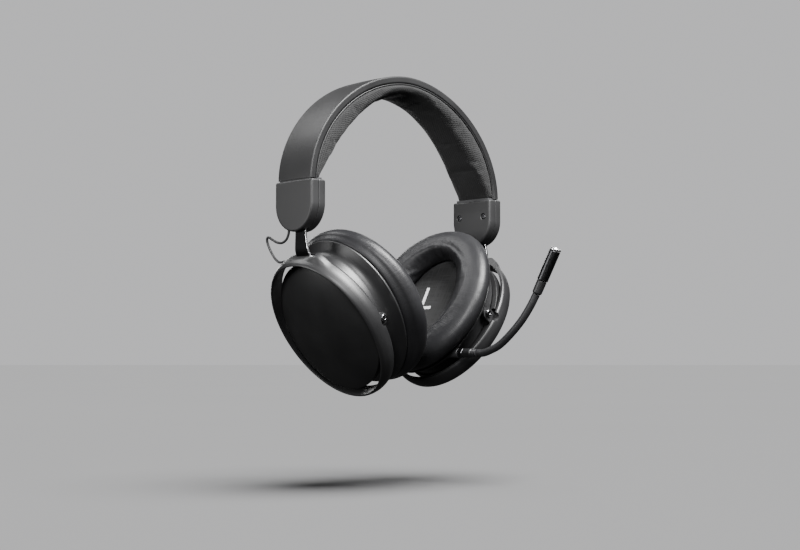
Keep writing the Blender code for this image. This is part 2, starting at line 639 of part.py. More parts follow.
def make_microphone(cup_place):
    """The plug along -y from the socket, then the gooseneck up to the capsule."""
    start = cup_place @ Vector((SOCKET_S * MM, 0.0, SOCKET_H * MM)) / MM
    axis = (0.0, -1.0, 0.0)
    plug = make_frame("mic_plug_frame", (start.x, SOCKET_MOUTH, start.z), 0.0)
    make_object("mic_jack_pin", turned((0.0, 0.0, 0.0), axis,
                                       [(-14.0, 0.9), (-12.6, 1.75), (-11.2, 1.2), (-10.6, 1.75),
                                        (0.0, 1.75)], 12), "steel", plug)
    make_object("mic_plug_collar", turned((0.0, 0.0, 0.0), axis,
                                          [(GAP, 2.7), (GAP + 0.4, 3.0), (3.9, 3.0), (4.3, 2.7)],
                                          24), "steel", plug)
    make_object("mic_plug_sleeve", turned((0.0, 0.0, 0.0), axis,
                                          [(4.6, 2.9), (10.6, 2.9), (11.3, 2.3)], 20),
                "black_plastic", plug)
    rings = [(11.6, 2.6), (12.4, 2.6), (12.4, 2.1), (13.0, 2.1), (13.0, 2.6), (13.8, 2.6),
             (13.8, 2.1), (14.4, 2.1), (14.4, 2.5), (15.2, 2.5)]
    make_object("mic_strain_relief", turned((0.0, 0.0, 0.0), axis, rings, 16), "rubber", plug)
    route = [Vector((x, y, z - CROWN)) for x, y, z in BOOM_ROUTE]
    route[0].x, route[0].z = start.x, start.z
    local = [point - plug.location / MM for point in smooth_route(route, 3)]
    make_cable("gooseneck", local, GOOSENECK_RADIUS, "rubber", plug)
    joint = route[-1]
    end = Vector((*CAPSULE_END[:2], CAPSULE_END[2] - CROWN))
    along = (end - joint).normalized()
    place = joint - plug.location / MM
    length = (end - joint).length
    make_object("capsule_sleeve", turned(place, along, [(GAP, 2.5), (1.2, 3.0), (8.6, 3.1), (8.9, 2.9)],
                                         20), "black_plastic", plug)
    make_object("capsule_barrel", turned(place, along, [(9.2, 3.2), (9.7, 3.5), (length - 1.7, 3.5)],
                                         24), "grey_plastic", plug)
    make_object("capsule_end", turned(place, along, [(length - 1.4, 3.5), (length - 0.4, 3.5),
                                                     (length, 3.0)], 24), "steel", plug)


clear_scene()
LOOK = make_looks()
CROWN = crown_height()
make_headband()
for side, word in ((1.0, "left"), (-1.0, "right")):
    make_end_cap(side, word)
    pivot = (side * PIVOT_X, 0.0, -PIVOT_DROP[word] - CROWN)
    yoke_frame = make_frame("yoke_frame_" + word, pivot, side * RING_TILT)
    cup_frame = make_frame("cup_frame_" + word, pivot, side * CUP_TILT)
    make_strap(side, word, yoke_frame)
    make_ring(side, word, yoke_frame)
    make_wire(side, word)
    cup_shell = make_cup(side, word, cup_frame)
    if word == "left":
        make_left_controls(side, cup_shell, cup_frame)
        place = Matrix.Translation(Vector(pivot) * MM) @ Matrix.Rotation(side * CUP_TILT, 4, "Y")
        make_microphone(place)
    else:
        make_object("battery", sided_box(side, BATTERY), "cell", cup_frame)
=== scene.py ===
"""Looks of the over-ear gaming headset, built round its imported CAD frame.

Lengths below are in millimetres in the CAD's own axes, and become metres when a mesh is made:
origin under the head cushion at its crown, +X to the wearer's left, -Y to the front, +Z up.
"""
import math

import bmesh
import bpy
from mathutils import Matrix, Vector, noise


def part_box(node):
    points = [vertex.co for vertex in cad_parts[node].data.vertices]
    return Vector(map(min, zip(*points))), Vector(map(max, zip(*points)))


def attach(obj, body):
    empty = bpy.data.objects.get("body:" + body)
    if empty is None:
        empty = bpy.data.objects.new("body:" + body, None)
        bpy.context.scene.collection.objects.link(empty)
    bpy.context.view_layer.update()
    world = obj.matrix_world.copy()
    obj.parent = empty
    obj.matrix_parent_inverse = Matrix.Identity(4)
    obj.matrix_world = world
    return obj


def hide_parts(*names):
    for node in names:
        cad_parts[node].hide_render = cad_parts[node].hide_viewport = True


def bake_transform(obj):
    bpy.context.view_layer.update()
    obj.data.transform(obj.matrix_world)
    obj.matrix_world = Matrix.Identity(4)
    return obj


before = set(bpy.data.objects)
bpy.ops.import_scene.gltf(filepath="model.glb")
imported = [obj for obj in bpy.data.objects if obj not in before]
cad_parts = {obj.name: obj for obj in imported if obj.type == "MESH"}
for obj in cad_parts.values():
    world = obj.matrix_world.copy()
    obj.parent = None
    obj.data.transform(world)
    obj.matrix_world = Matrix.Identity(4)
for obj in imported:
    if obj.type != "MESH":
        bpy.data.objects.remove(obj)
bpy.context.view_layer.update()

MM = 0.001
TO_CM = 0.1
SHARP = 38.0
SIDES = (("left", 1.0), ("right", -1.0))
ENDS = (("front", -1.0), ("rear", 1.0))
CROWN = 59.63

# Headband arch and the section of its cover and cushion.
ARCH_HALF_WIDTH = 84.0
ARCH_RISE = 72.3
ARCH_POWER = 1.89
BAND_HALF = 15.5
COVER_WALL = 1.5
COVER_SIDE = 4.6
CUSHION_TOP = 5.0
CUSHION_AROUND = 44
CUSHION_ALONG = 150
BAND_DEPTHS = ((0.0, 9.6), (0.1, 13.8), (0.2, 16.6), (0.4, 17.5), (0.6, 15.9), (0.8, 13.6),
               (1.0, 12.3))

# End caps.
CAP_INNER_X = 73.0
CAP_OUTER_X = 84.5
CAP_SEAM = 78.8
CAP_TOP = -0.8
CAP_HALF = 17.2
CAP_STRAIGHT = 14.2
CAP_ROUND = 16.8
CAP_WALL = 2.0
CAP_SCREW = (11.0, -12.0)

# Yokes and cups lean about the pivot pins; s runs outward along their axes, h upward.
RING_TILT = math.radians(34.5)
CUP_TILT = math.radians(28.2)
STRAP_S = 4.9
STRAP_THICKNESS = 1.4
STRAP_X = 80.0
STRAP_TOP = 10.0
SLIDER_OUT = {"left": 0.0, "right": 5.2}
STRAP_NECK = (-7.0, 2.4)
STRAP_FOOT_SPAN = (-9.4, 2.8)
STRAP_FOOT = 45.9
STRAP_BEND = 3.0
SLOT_FRONT = -14.0
BOSS_BOTTOM = 44.9
CROWN_TOP = 49.5
RIVET_HEIGHT = 47.3
RIVET_Y = {"front": -6.6, "rear": 0.0}
EAR_INNER = 36.4
EAR_OUTER = 38.9
PIN_WAY = 1.8

# Controls on the left cup, and the number of points round an oval.
CONTROL_S = -7.3
WHEEL_H = -15.0
PORT_H = 1.5
BUTTON_HEIGHTS = {"power_button": 12.0, "mute_button": 20.5}
SOCKET = (-7.7, -33.4)
POD_SIZE = (43.3, 47.4)
AROUND = 144


def smooth(value):
    """0 below 0, 1 above 1 and an S curve between."""
    value = min(1.0, max(0.0, value))
    return value * value * (3.0 - 2.0 * value)


def mix(low, high, share):
    return low + (high - low) * share


# ---- meshes


def rounded(points, radii, steps=5, closed=True):
    """An outline with its corners rounded: radii is how far each corner's curve reaches."""
    points = [Vector(point) for point in points]
    count = len(points)
    made = []
    for i, point in enumerate(points):
        radius = radii[i] if isinstance(radii, (list, tuple)) else radii
        if radius == 0.0 or (not closed and i in (0, count - 1)):
            made.append(point)
            continue
        before = points[i - 1] - point
        after = points[(i + 1) % count] - point
        first = point + before.normalized() * min(radius, before.length * 0.49)
        last = point + after.normalized() * min(radius, after.length * 0.49)
        for k in range(steps + 1):
            t = k / steps
            made.append(first * (1 - t) ** 2 + point * 2 * t * (1 - t) + last * t * t)
    return made


def catmull(a, b, c, d, t):
    """A share t of the way from b to c on the smooth curve through a, b, c and d."""
    return 0.5 * (2 * b + (c - a) * t + (2 * a - 5 * b + 4 * c - d) * t ** 2
                  + (3 * b - a - 3 * c + d) * t ** 3)


def smooth_route(points, steps):
    """A Catmull-Rom curve through the points."""
    points = [Vector(point) for point in points]
    ends = [points[0] * 2 - points[1], *points, points[-1] * 2 - points[-2]]
    fours = zip(ends, ends[1:], ends[2:], ends[3:])
    return [catmull(*four, i / steps) for four in fours for i in range(steps)] + [points[-1]]


def direction_at(route, i):
    """The way the route runs at its point i."""
    return (route[min(i + 1, len(route) - 1)] - route[max(i - 1, 0)]).normalized()


def lengths(points):
    """How far along the line each point is."""
    along = [0.0]
    for first, second in zip(points, points[1:]):
        along.append(along[-1] + (second - first).length)
    return along


def evened_count(points, count):
    """The closed outline with this many evenly spaced points."""
    loop = points + points[:1]
    along = lengths(loop)
    made = []
    k = 0
    for i in range(count):
        wanted = along[-1] * i / count
        while along[k + 1] < wanted:
            k += 1
        share = (wanted - along[k]) / max(along[k + 1] - along[k], 1e-9)
        made.append(loop[k].lerp(loop[k + 1], share))
    return made


def turn(count, first=0.0):
    """Angles evenly round a full turn."""
    return [math.tau * (i + first) / count for i in range(count)]


def arc(start, sweep, steps):
    """Angles from start on, both ends included."""
    return [start + sweep * i / steps for i in range(steps + 1)]


def add_object(name, data):
    made = bpy.data.objects.new(name, data)
    bpy.context.scene.collection.objects.link(made)
    return made


def skin(name, rows, closed=False, place=None, sharp=SHARP):
    """A smooth mesh over rows of points, each row a loop, with its lengths as a UV map."""
    place = place or Matrix.Identity(4)
    rows = [[place @ (Vector(point) * MM) for point in row] for row in rows]
    longest = max(rows, key=lambda row: sum((a - b).length for a, b in zip(row, row[1:])))
    starts = [row[0] for row in rows]
    across = [length / MM * TO_CM for length in lengths(longest + longest[:1])]
    along = [length / MM * TO_CM for length in lengths(starts + starts[:1])]
    shape = bmesh.new()
    uv = shape.loops.layers.uv.new("run")
    grid = [[shape.verts.new(point) for point in row] for row in rows]
    count = len(rows[0])
    for r in range(len(rows) if closed else len(rows) - 1):
        first, second = grid[r], grid[(r + 1) % len(rows)]
        for i in range(count):
            j = (i + 1) % count
            face = shape.faces.new((first[i], first[j], second[j], second[i]))
            spots = ((i, r), (i + 1, r), (i + 1, r + 1), (i, r + 1))
            for loop, (u, v) in zip(face.loops, spots):
                loop[uv].uv = (across[u], along[v])
    if not closed:
        for row in (grid[0], grid[-1]):
            face = shape.faces.new(row)
            for loop in face.loops:
                spot = place.inverted() @ loop.vert.co / MM * TO_CM
                loop[uv].uv = (spot.y, spot.z)
    return make_piece(name, shape, sharp)


def make_piece(name, shape, sharp=SHARP):
    bmesh.ops.recalc_face_normals(shape, faces=shape.faces)
    mesh = bpy.data.meshes.new(name)
    shape.to_mesh(mesh)
    shape.free()
    mesh.shade_smooth()
    mesh.set_sharp_from_angle(angle=math.radians(sharp))
    return add_object(name, mesh)


def turned_rows(centre, axis, profile, count, tooth=None):
    """Rows about an axis from (distance, radius) pairs; tooth changes a radius by angle."""
    axis = Vector(axis).normalized()
    across = axis.orthogonal().normalized()
    up = axis.cross(across)
    rows = []
    for along, radius in profile:
        row = []
        for angle in turn(count):
            reach = radius + (tooth(angle, along) if tooth else 0.0)
            row.append(Vector(centre) + axis * along
                       + (across * math.cos(angle) + up * math.sin(angle)) * reach)
        rows.append(row)
    return rows


def turned(name, centre, axis, profile, count=32, radius=0.3, place=None, tooth=None):
    """A turned body with rounded corners."""
    line = rounded([(a, r, 0.0) for a, r in profile], radius, 3, closed=False)
    return skin(name, turned_rows(centre, axis, [(p.x, p.y) for p in line], count, tooth),
                place=place)


def tube(name, route, radius, count):
    """A round body along a route, its sections square to it."""
    rows = []
    up = Vector((0.0, 0.0, 1.0)).cross(route[1] - route[0])
    up = up.normalized() if up.length > 1e-6 else Vector((0.0, 1.0, 0.0))
    for i, point in enumerate(route):
        run = direction_at(route, i)
        up = (up - run * up.dot(run)).normalized()
        side = run.cross(up)
        rows.append([point + (up * math.cos(angle) + side * math.sin(angle)) * radius
                     for angle in turn(count)])
    return skin(name, rows)


def prism(name, outline, one, other, place=None):
    """An (s, h) outline carried along y from one end to the other."""
    return skin(name, [[(s, y, h) for s, h in outline] for y in sorted((one, other))],
                place=place)


def block(name, one, other, place=None):
    """A rectangular tool from corner to corner."""
    (x_low, x_high), _, (z_low, z_high) = (sorted(pair) for pair in zip(one, other))
    outline = [(x_low, z_low), (x_high, z_low), (x_high, z_high), (x_low, z_high)]
    return prism(name, outline, one[1], other[1], place)


def final_mesh(piece):
    """A mesh of the piece as its modifiers leave it."""
    graph = bpy.context.evaluated_depsgraph_get()
    graph.update()
    return bpy.data.meshes.new_from_object(piece.evaluated_get(graph), depsgraph=graph)


def settle(piece):
    """Applies a piece's modifiers."""
    mesh = final_mesh(piece)
    piece.modifiers.clear()
    piece.data = mesh


def refine(piece):
    """Divides each face in four, smoothly."""
    finer = piece.modifiers.new("finer", "SUBSURF")
    finer.levels = 1
    finer.render_levels = 1
    settle(piece)


def carve(piece, *tools, operation="DIFFERENCE"):
    """Cuts tools from a piece, or joins them to it."""
    for tool in tools:
        modifier = piece.modifiers.new("carve", "BOOLEAN")
        modifier.operation = operation
        modifier.solver = "EXACT"
        modifier.object = tool
        settle(piece)
        bpy.data.objects.remove(tool, do_unlink=True)
    piece.data.shade_smooth()
    piece.data.set_sharp_from_angle(angle=math.radians(SHARP))


def place_piece(piece, body, look, slot, *nodes):
    """Gives a piece its material and its body if it has one, and hides the CAD nodes it stands
    for.
    """
    piece.data.materials.clear()
    piece.data.materials.append(LOOK[look])
    if body is not None:
        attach(piece, body)
    if nodes:
        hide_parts(*nodes)
    if body is not None:
        weighted = piece.modifiers.new("normals", "WEIGHTED_NORMAL")
        weighted.keep_sharp = True


def fit(name, centre, axis, profile, count, radius, *placing, place=None, tooth=None):
    """Turns a piece; placing is its body, look, slot and nodes."""
    place_piece(turned(name, centre, axis, profile, count, radius, place, tooth), *placing)


def middle_of(node):
    """The middle of a CAD node's box, in metres."""
    low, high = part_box(node)
    return (low + high) / 2.0


def pivot_matrix(word, side, tilt):
    """The axes of a ring or a cup, from where its front pin is."""
    middle = middle_of("pivot_pin_%s_front" % word)
    place = Matrix.Translation((middle.x, 0.0, middle.z))
    return place @ Matrix.Rotation(side * tilt, 4, "Y")


# ---- materials


def feed(tree, socket, value):
    """Sets a socket, or links it where the value is a socket itself."""
    if isinstance(value, bpy.types.NodeSocket):
        tree.links.new(value, socket)
    else:
        socket.default_value = value


def add_node(tree, kind, settings=None, **inputs):
    """A shader node; inputs are numbers, or sockets to link from."""
    made = tree.nodes.new(kind)
    for name, value in (settings or {}).items():
        setattr(made, name, value)
    for name, value in inputs.items():
        feed(tree, made.inputs[name.replace("_", " ")], value)
    return made


def new_look(name, color, roughness, metallic=0.0, **plain):
    look = bpy.data.materials.new(name)
    look.use_nodes = True
    look.diffuse_color = (*color, 1.0)
    tree = look.node_tree
    shader = tree.nodes["Principled BSDF"]
    shader.inputs["Base Color"].default_value = (*color, 1.0)
    shader.inputs["Roughness"].default_value = roughness
    shader.inputs["Metallic"].default_value = metallic
    for socket, value in plain.items():
        shader.inputs[socket.replace("_", " ")].default_value = value
    return look, tree, shader


def object_axes(tree):
    return add_node(tree, "ShaderNodeTexCoord").outputs["Object"]


def run_lengths(tree):
    """Lengths across and along a cover, in centimetres."""
    return add_node(tree, "ShaderNodeUVMap", {"uv_map": "run"}).outputs["UV"]


def grain_of(tree, source, scale, detail, **more):
    """Noise at one scale, or stretched by a scale in each direction."""
    if isinstance(scale, (list, tuple)):
        mapped = add_node(tree, "ShaderNodeMapping", Vector=source, Scale=scale)
        source, scale = mapped.outputs["Vector"], 1.0
    made = add_node(tree, "ShaderNodeTexNoise", Vector=source, Scale=scale, Detail=detail, **more)
    return made.outputs["Fac"]


def span(tree, source, low, high, to_low=0.0, to_high=1.0):
    """A value carried from one range to another."""
    made = add_node(tree, "ShaderNodeMapRange", Value=source, From_Min=low, From_Max=high,
                    To_Min=to_low, To_Max=to_high)
    return made.outputs["Result"]


def opened(tree, source, to_low=0.0, to_high=1.0):
    """Noise, which seldom leaves its middle, carried to a whole range."""
    return span(tree, source, 0.3, 0.7, to_low, to_high)


def tinted(tree, factor, first, second):
    """A colour between two, the first a colour or a socket."""
    made = add_node(tree, "ShaderNodeMix", {"data_type": "RGBA"})
    tree.links.new(factor, made.inputs[0])
    feed(tree, made.inputs[6], first if isinstance(first, bpy.types.NodeSocket) else (*first, 1.0))
    made.inputs[7].default_value = (*second, 1.0)
    return made.outputs[2]


def paired(tree, operation, first, second):
    """Two values through one operation."""
    made = add_node(tree, "ShaderNodeMath", {"operation": operation})
    tree.links.new(first, made.inputs[0])
    tree.links.new(second, made.inputs[1])
    return made.outputs[0]


def painted(tree, shader, factor, first, second):
    tree.links.new(tinted(tree, factor, first, second), shader.inputs["Base Color"])


def bumped(tree, shader, height, distance, strength=1.0, under=None):
    """Relief on a shader, over other relief where there is some."""
    made = add_node(tree, "ShaderNodeBump", Height=height, Distance=distance * MM,
                    Strength=strength)
    if under is not None:
        tree.links.new(under, made.inputs["Normal"])
    tree.links.new(made.outputs["Normal"], shader.inputs["Normal"])
    return made.outputs["Normal"]


def moulded(name, dark, light, roughness, grain=2600.0, depth=0.012, wear=0.35, **plain):
    """Spark-eroded plastic: a fine grain, slow changes of gloss, and edges rubbed lighter."""
    look, tree, shader = new_look(name, dark, roughness, **plain)
    spot = object_axes(tree)
    slow = grain_of(tree, spot, 38.0, 5.0)
    fine = grain_of(tree, spot, grain, 2.0)
    edge = add_node(tree, "ShaderNodeNewGeometry").outputs["Pointiness"]
    rub = span(tree, edge, 0.51, 0.58, 0.0, wear)
    broken = paired(tree, "MULTIPLY", rub, opened(tree, slow, 0.3))
    base = tinted(tree, opened(tree, slow), dark, light)
    rubbed = [min(1.0, value * 2.6 + 0.02) for value in light]
    painted(tree, shader, broken, base, rubbed)
    feed(tree, shader.inputs["Roughness"],
         span(tree, slow, 0.25, 0.75, roughness - 0.05, roughness + 0.06))
    bumped(tree, shader, fine, depth)
    return look


def brushed(name, color, roughness, stretch):
    """Metal with fine lines along one direction and a few faint marks."""
    look, tree, shader = new_look(name, color, roughness, 1.0)
    spot = object_axes(tree)
    lines = grain_of(tree, spot, stretch, 3.0)
    slow = grain_of(tree, spot, 120.0, 4.0)
    feed(tree, shader.inputs["Roughness"], opened(tree, lines, roughness - 0.08, roughness + 0.12))
    darker = [value * 0.85 for value in color]
    painted(tree, shader, opened(tree, slow), darker, color)
    bumped(tree, shader, lines, 0.01)
    return look


def leather(name):
    """Protein leather: small cells, and finer creases that run across the roll of the pad."""
    look, tree, shader = new_look(name, (0.011, 0.011, 0.012), 0.40, IOR=1.46,
                                  Specular_IOR_Level=0.35)
    spot = object_axes(tree)
    warp = add_node(tree, "ShaderNodeTexNoise", Vector=spot, Scale=160.0, Detail=3.0)
    moved = add_node(tree, "ShaderNodeVectorMath", {"operation": "MULTIPLY_ADD"})
    tree.links.new(warp.outputs["Color"], moved.inputs[0])
    moved.inputs[1].default_value = (0.0012, 0.0012, 0.0012)
    tree.links.new(spot, moved.inputs[2])
    cells = add_node(tree, "ShaderNodeTexVoronoi", {"feature": "DISTANCE_TO_EDGE"},
                     Vector=moved.outputs[0], Scale=1150.0).outputs["Distance"]
    creases = grain_of(tree, run_lengths(tree), (9.0, 0.55, 1.0), 5.0, Roughness=0.6)
    slow = grain_of(tree, spot, 26.0, 4.0)
    painted(tree, shader, opened(tree, slow), (0.008, 0.008, 0.009), (0.016, 0.016, 0.017))
    feed(tree, shader.inputs["Roughness"], opened(tree, slow, 0.36, 0.46))
    low = bumped(tree, shader, creases, 0.16, 0.7)
    bumped(tree, shader, span(tree, cells, 0.0, 0.25), 0.022, 0.8, low)
    return look


def knit(name):
    """Sports mesh: rows of small holes between rounded yarns, with a soft sheen."""
    look, tree, shader = new_look(name, (0.008, 0.008, 0.0085), 0.82, Sheen_Weight=0.05,
                                  Sheen_Roughness=0.5, IOR=1.4)
    run = run_lengths(tree)
    turned_run = add_node(tree, "ShaderNodeMapping", Vector=run, Scale=(7.4, 7.4, 1.0),
                          Rotation=(0.0, 0.0, math.radians(45.0))).outputs["Vector"]
    hole = add_node(tree, "ShaderNodeTexVoronoi", Vector=turned_run, Scale=1.0, Randomness=0.0)
    yarn = grain_of(tree, run, (150.0, 60.0, 1.0), 2.0)
    solid = span(tree, hole.outputs["Distance"], 0.24, 0.40)
    painted(tree, shader, solid, (0.0015, 0.0015, 0.0015), (0.009, 0.009, 0.0093))
    low = bumped(tree, shader, yarn, 0.05, 0.6)
    bumped(tree, shader, solid, 0.22, 0.9, low)
    return look


def scrim_cloth(name):
    """Thin woven cloth over the driver."""
    look, tree, shader = new_look(name, (0.02, 0.02, 0.02), 0.9, Sheen_Weight=0.1, IOR=1.35)
    spot = object_axes(tree)
    weave = [grain_of(tree, spot, [value * 1500.0 + 60.0 for value in direction], 1.0)
             for direction in ((0.0, 1.0, 0.0), (0.7, 0.0, 0.7))]
    both = paired(tree, "MAXIMUM", *weave)
    threads = span(tree, both, 0.4, 0.75)
    painted(tree, shader, threads, (0.003, 0.003, 0.003), (0.014, 0.014, 0.0145))
    bumped(tree, shader, both, 0.08)
    return look


def circuit(name):
    """Green board with tracks and pads."""
    look, tree, shader = new_look(name, (0.01, 0.07, 0.03), 0.35)
    tracks = add_node(tree, "ShaderNodeTexVoronoi", {"distance": "CHEBYCHEV"},
                      Vector=object_axes(tree), Scale=420.0, Randomness=0.7).outputs["Distance"]
    lines = span(tree, tracks, 0.42, 0.5)
    painted(tree, shader, lines, (0.008, 0.055, 0.025), (0.03, 0.16, 0.07))
    bumped(tree, shader, tracks, 0.05)
    return look


LOOK = {
    "cover": moulded("soft_touch_cover", (0.006, 0.006, 0.0063), (0.009, 0.009, 0.0094), 0.50,
                     grain=1500.0, depth=0.02, wear=0.12, IOR=1.45),
    "cap": moulded("cap_grey_plastic", (0.010, 0.010, 0.0104), (0.013, 0.013, 0.0135), 0.50,
                   grain=2200.0, depth=0.014, wear=0.25),
    "ring": moulded("ring_satin_plastic", (0.008, 0.008, 0.0085), (0.011, 0.011, 0.0115), 0.42,
                    grain=3200.0, depth=0.006, wear=0.30),
    "shell": moulded("shell_satin_plastic", (0.007, 0.007, 0.0075), (0.010, 0.010, 0.0105), 0.42,
                     grain=3200.0, depth=0.006, wear=0.25),
    "lid": moulded("lid_matt_plastic", (0.004, 0.004, 0.0042), (0.006, 0.006, 0.0063), 0.48,
                   grain=3600.0, depth=0.010, wear=0.2, IOR=1.45),
    "inside": moulded("inner_plastic", (0.012, 0.012, 0.013), (0.020, 0.020, 0.021), 0.55),
    # Strap faces: steel darkened to near black, a painted dark reflection of dark surroundings.
    "strap": brushed("strap_steel_painted_dark_reflection", (0.012, 0.012, 0.0125), 0.40, (3000.0, 3000.0, 40.0)),
    "steel": brushed("turned_steel", (0.60, 0.60, 0.61), 0.24, (60.0, 2600.0, 2600.0)),
    "dark_steel": brushed("screw_steel", (0.09, 0.09, 0.095), 0.32, (60.0, 2600.0, 2600.0)),
    "pin": brushed("pin_steel", (0.16, 0.16, 0.165), 0.22, (60.0, 2600.0, 2600.0)),
    "capsule": brushed("capsule_metal", (0.045, 0.045, 0.047), 0.30, (2600.0, 900.0, 900.0)),
    "leather": leather("pad_leather"),
    "knit": knit("cushion_knit"),
    "scrim": scrim_cloth("scrim_weave"),
    "rubber": moulded("cable_rubber", (0.010, 0.010, 0.011), (0.015, 0.015, 0.016), 0.48,
                      grain=1800.0, depth=0.02, wear=0.1),
    "board": circuit("board_green"),
    "cell": moulded("cell_wrap", (0.30, 0.31, 0.33), (0.40, 0.41, 0.43), 0.38, grain=600.0,
                    depth=0.03, wear=0.2),
    "mark": moulded("printed_mark", (0.55, 0.55, 0.56), (0.66, 0.66, 0.67), 0.5, grain=900.0,
                    depth=0.02, wear=0.0),
}


# ---- headband


def arch_at(angle):
    """The band's outer line and its outward direction."""
    cosine, sine = math.cos(angle), math.sin(angle)
    x = ARCH_HALF_WIDTH * math.copysign(abs(cosine) ** (2.0 / ARCH_POWER), cosine)
    z = ARCH_RISE * abs(sine) ** (2.0 / ARCH_POWER)
    slope_x = math.copysign(abs(x / ARCH_HALF_WIDTH) ** (ARCH_POWER - 1.0), x) / ARCH_HALF_WIDTH
    slope_z = (z / ARCH_RISE) ** (ARCH_POWER - 1.0) / ARCH_RISE
    return Vector((x, 0.0, z - CROWN)), Vector((slope_x, 0.0, slope_z)).normalized()


def arch_stations(count, steps=6000):
    """Evenly spaced (point, outward direction, share from end to crown) along the arch."""
    fine = [arch_at(angle) for angle in arc(0.0, math.pi, steps)]
    along = lengths([point for point, _ in fine])
    stations = []
    k = 0
    for i in range(count + 1):
        wanted = along[-1] * i / count
        while k < steps and along[k] < wanted:
            k += 1
        stations.append((*fine[k], min(i, count - i) / (count / 2.0)))
    return stations


def band_depth(share):
    """Depth of band and cushion together, eased between the named depths."""
    shares, depths = zip(*BAND_DEPTHS)
    k = max(i for i in range(len(shares) - 1) if share >= shares[i])
    before, after = max(k - 1, 0), min(k + 2, len(depths) - 1)
    t = (share - shares[k]) / (shares[k + 1] - shares[k])
    return catmull(depths[before], depths[k], depths[k + 1], depths[after], t)


def band_rows(section, count):
    """Rows of (depth, y) sections along the arch."""
    rows = []
    for point, outward, share in arch_stations(count):
        rows.append([point - outward * p.x + Vector((0.0, p.y, 0.0))
                     for p in section(band_depth(share), share)])
    return rows


def cover_section(*_):
    """Slightly crowned outside, a tight front corner and a rolled lower lip."""
    half, lip = BAND_HALF, COVER_SIDE
    points = [(0.0, -5.0), (0.0, 5.0), (0.25, half - 0.35), (1.0, half), (lip - 0.6, half - 0.1),
              (lip, half - 0.5), (lip, half - 1.5), (COVER_WALL, half - 1.6),
              (COVER_WALL, 1.6 - half), (lip, 1.5 - half), (lip, 0.5 - half),
              (lip - 0.6, 0.1 - half), (1.0, -half), (0.25, 0.35 - half)]
    radii = [3.0, 3.0, 0.8, 0.6, 0.4, 0.4, 0.3, 0.4, 0.4, 0.3, 0.4, 0.4, 0.6, 0.8]
    return rounded([(d, y, 0.0) for d, y in points], radii, 4)


def cushion_section(depth, share):
    """Crowned underside, sides that bulge a little, drawn in under the piping."""
    half, spacing = BAND_HALF, 1.5
    swell = 0.35 * smooth(share * 6.0)
    points = [(CUSHION_TOP, half - 1.2), (CUSHION_TOP + 0.9, half - 0.5),
              (depth * 0.62, half - 0.1), (depth - 1.6, half - 1.0), (depth - 0.35, half - 4.2),
              (depth + swell - 0.35, 0.0)]
    whole = points + [(d, -y) for d, y in reversed(points[:-1])]
    outline = rounded([(d, y, 0.0) for d, y in whole], 2.4, 4)
    return evened_count(outline, max(12, round(lengths(outline + outline[:1])[-1] / spacing)))


CLOTH_FRAMES = 20
CLOTH = {
    "quality": 6, "mass": 0.05, "tension_stiffness": 12.0, "compression_stiffness": 12.0,
    "shear_stiffness": 6.0, "bending_stiffness": 0.02, "use_pressure": True,
    "vertex_group_mass": "held",
}


def inflate(piece, held, reach, pressure, slack):
    """Blows a cover up over its foam with Cloth: held vertices stay, others move reach at most."""
    rest = [vertex.co.copy() for vertex in piece.data.vertices]
    group = piece.vertex_groups.new(name="held")
    group.add([i for i in range(len(rest)) if held(rest[i])], 1.0, "REPLACE")
    cloth = piece.modifiers.new("cloth", "CLOTH")
    for name, value in CLOTH.items():
        setattr(cloth.settings, name, value)
    cloth.settings.uniform_pressure_force = pressure
    cloth.settings.shrink_min = cloth.settings.shrink_max = -slack
    cloth.settings.effector_weights.gravity = 0.0
    cloth.collision_settings.use_collision = False
    cloth.collision_settings.use_self_collision = False
    cloth.point_cache.frame_start = 1
    cloth.point_cache.frame_end = CLOTH_FRAMES
    scene = bpy.context.scene
    for step in range(1, CLOTH_FRAMES + 1):
        scene.frame_set(step)
    graph = bpy.context.evaluated_depsgraph_get()
    moved = [vertex.co.copy() for vertex in piece.evaluated_get(graph).data.vertices]
    piece.modifiers.clear()
    for vertex, first, last in zip(piece.data.vertices, rest, moved):
        shift = last - first
        if shift.length > reach * MM:
            shift = shift.normalized() * reach * MM
        vertex.co = first + shift
    piece.vertex_groups.clear()
    scene.frame_set(1)


def make_headband():
    cover = skin("cover_shell", band_rows(cover_section, 220))
    place_piece(cover, "headband", "cover", "band_cover", "headband_cover")

    rows = [evened_count(row, CUSHION_AROUND) for row in band_rows(cushion_section, CUSHION_ALONG)]
    cushion = skin("cushion_knit", rows, sharp=180.0)
    glued = CUSHION_TOP + 1.2
    bare = [point for point, _, _ in arch_stations(CUSHION_ALONG)]

    def held(spot):
        near = min((spot / MM - Vector((p.x, spot.y / MM, p.z))).length for p in bare)
        return near < glued or abs(spot.z / MM + CROWN) < 1.0

    inflate(cushion, held, 0.9, 3.0, 0.01)
    refine(cushion)
    place_piece(cushion, "headband", "knit", "knit", "head_cushion")
    for end, sign in ENDS:
        beside = Vector((0.0, sign * (BAND_HALF - 0.55), 0.0))
        route = [point - outward * (COVER_SIDE + 0.75) + beside
                 for point, outward, _ in arch_stations(160)]
        piping = tube("cushion_piping_" + end, route, 0.42, 10)
        place_piece(piping, "headband", "cover", "band_cover")

# ---- end caps


def cap_outline(inset):
    """Square above and round below, with small upper corners."""
    straight = CAP_TOP - CAP_STRAIGHT
    half = CAP_HALF - inset
    top = CAP_TOP - inset
    points = [(half, straight + 5.0, 0.0), (half, top, 0.0), (-half, top, 0.0),
              (-half, straight + 5.0, 0.0)]
    upper = rounded(points, 1.1, 4, closed=False)
    reach = CAP_ROUND - inset
    lower = [Vector((half * math.cos(angle), straight + reach * math.sin(angle), 0.0))
             for angle in arc(math.pi, math.pi, 48)]
    return upper + lower


def cap_rows(side, layers):
    rows = []
    for layer in layers:
        rows.append([(side * layer.x, p.x, p.y - CROWN) for p in cap_outline(layer.y)])
    return rows


def layered(points, radii):
    """Layers (x, inset) of a cap with its edge rounded."""
    return rounded([(x, inset, 0.0) for x, inset in points], radii, 5, closed=False)


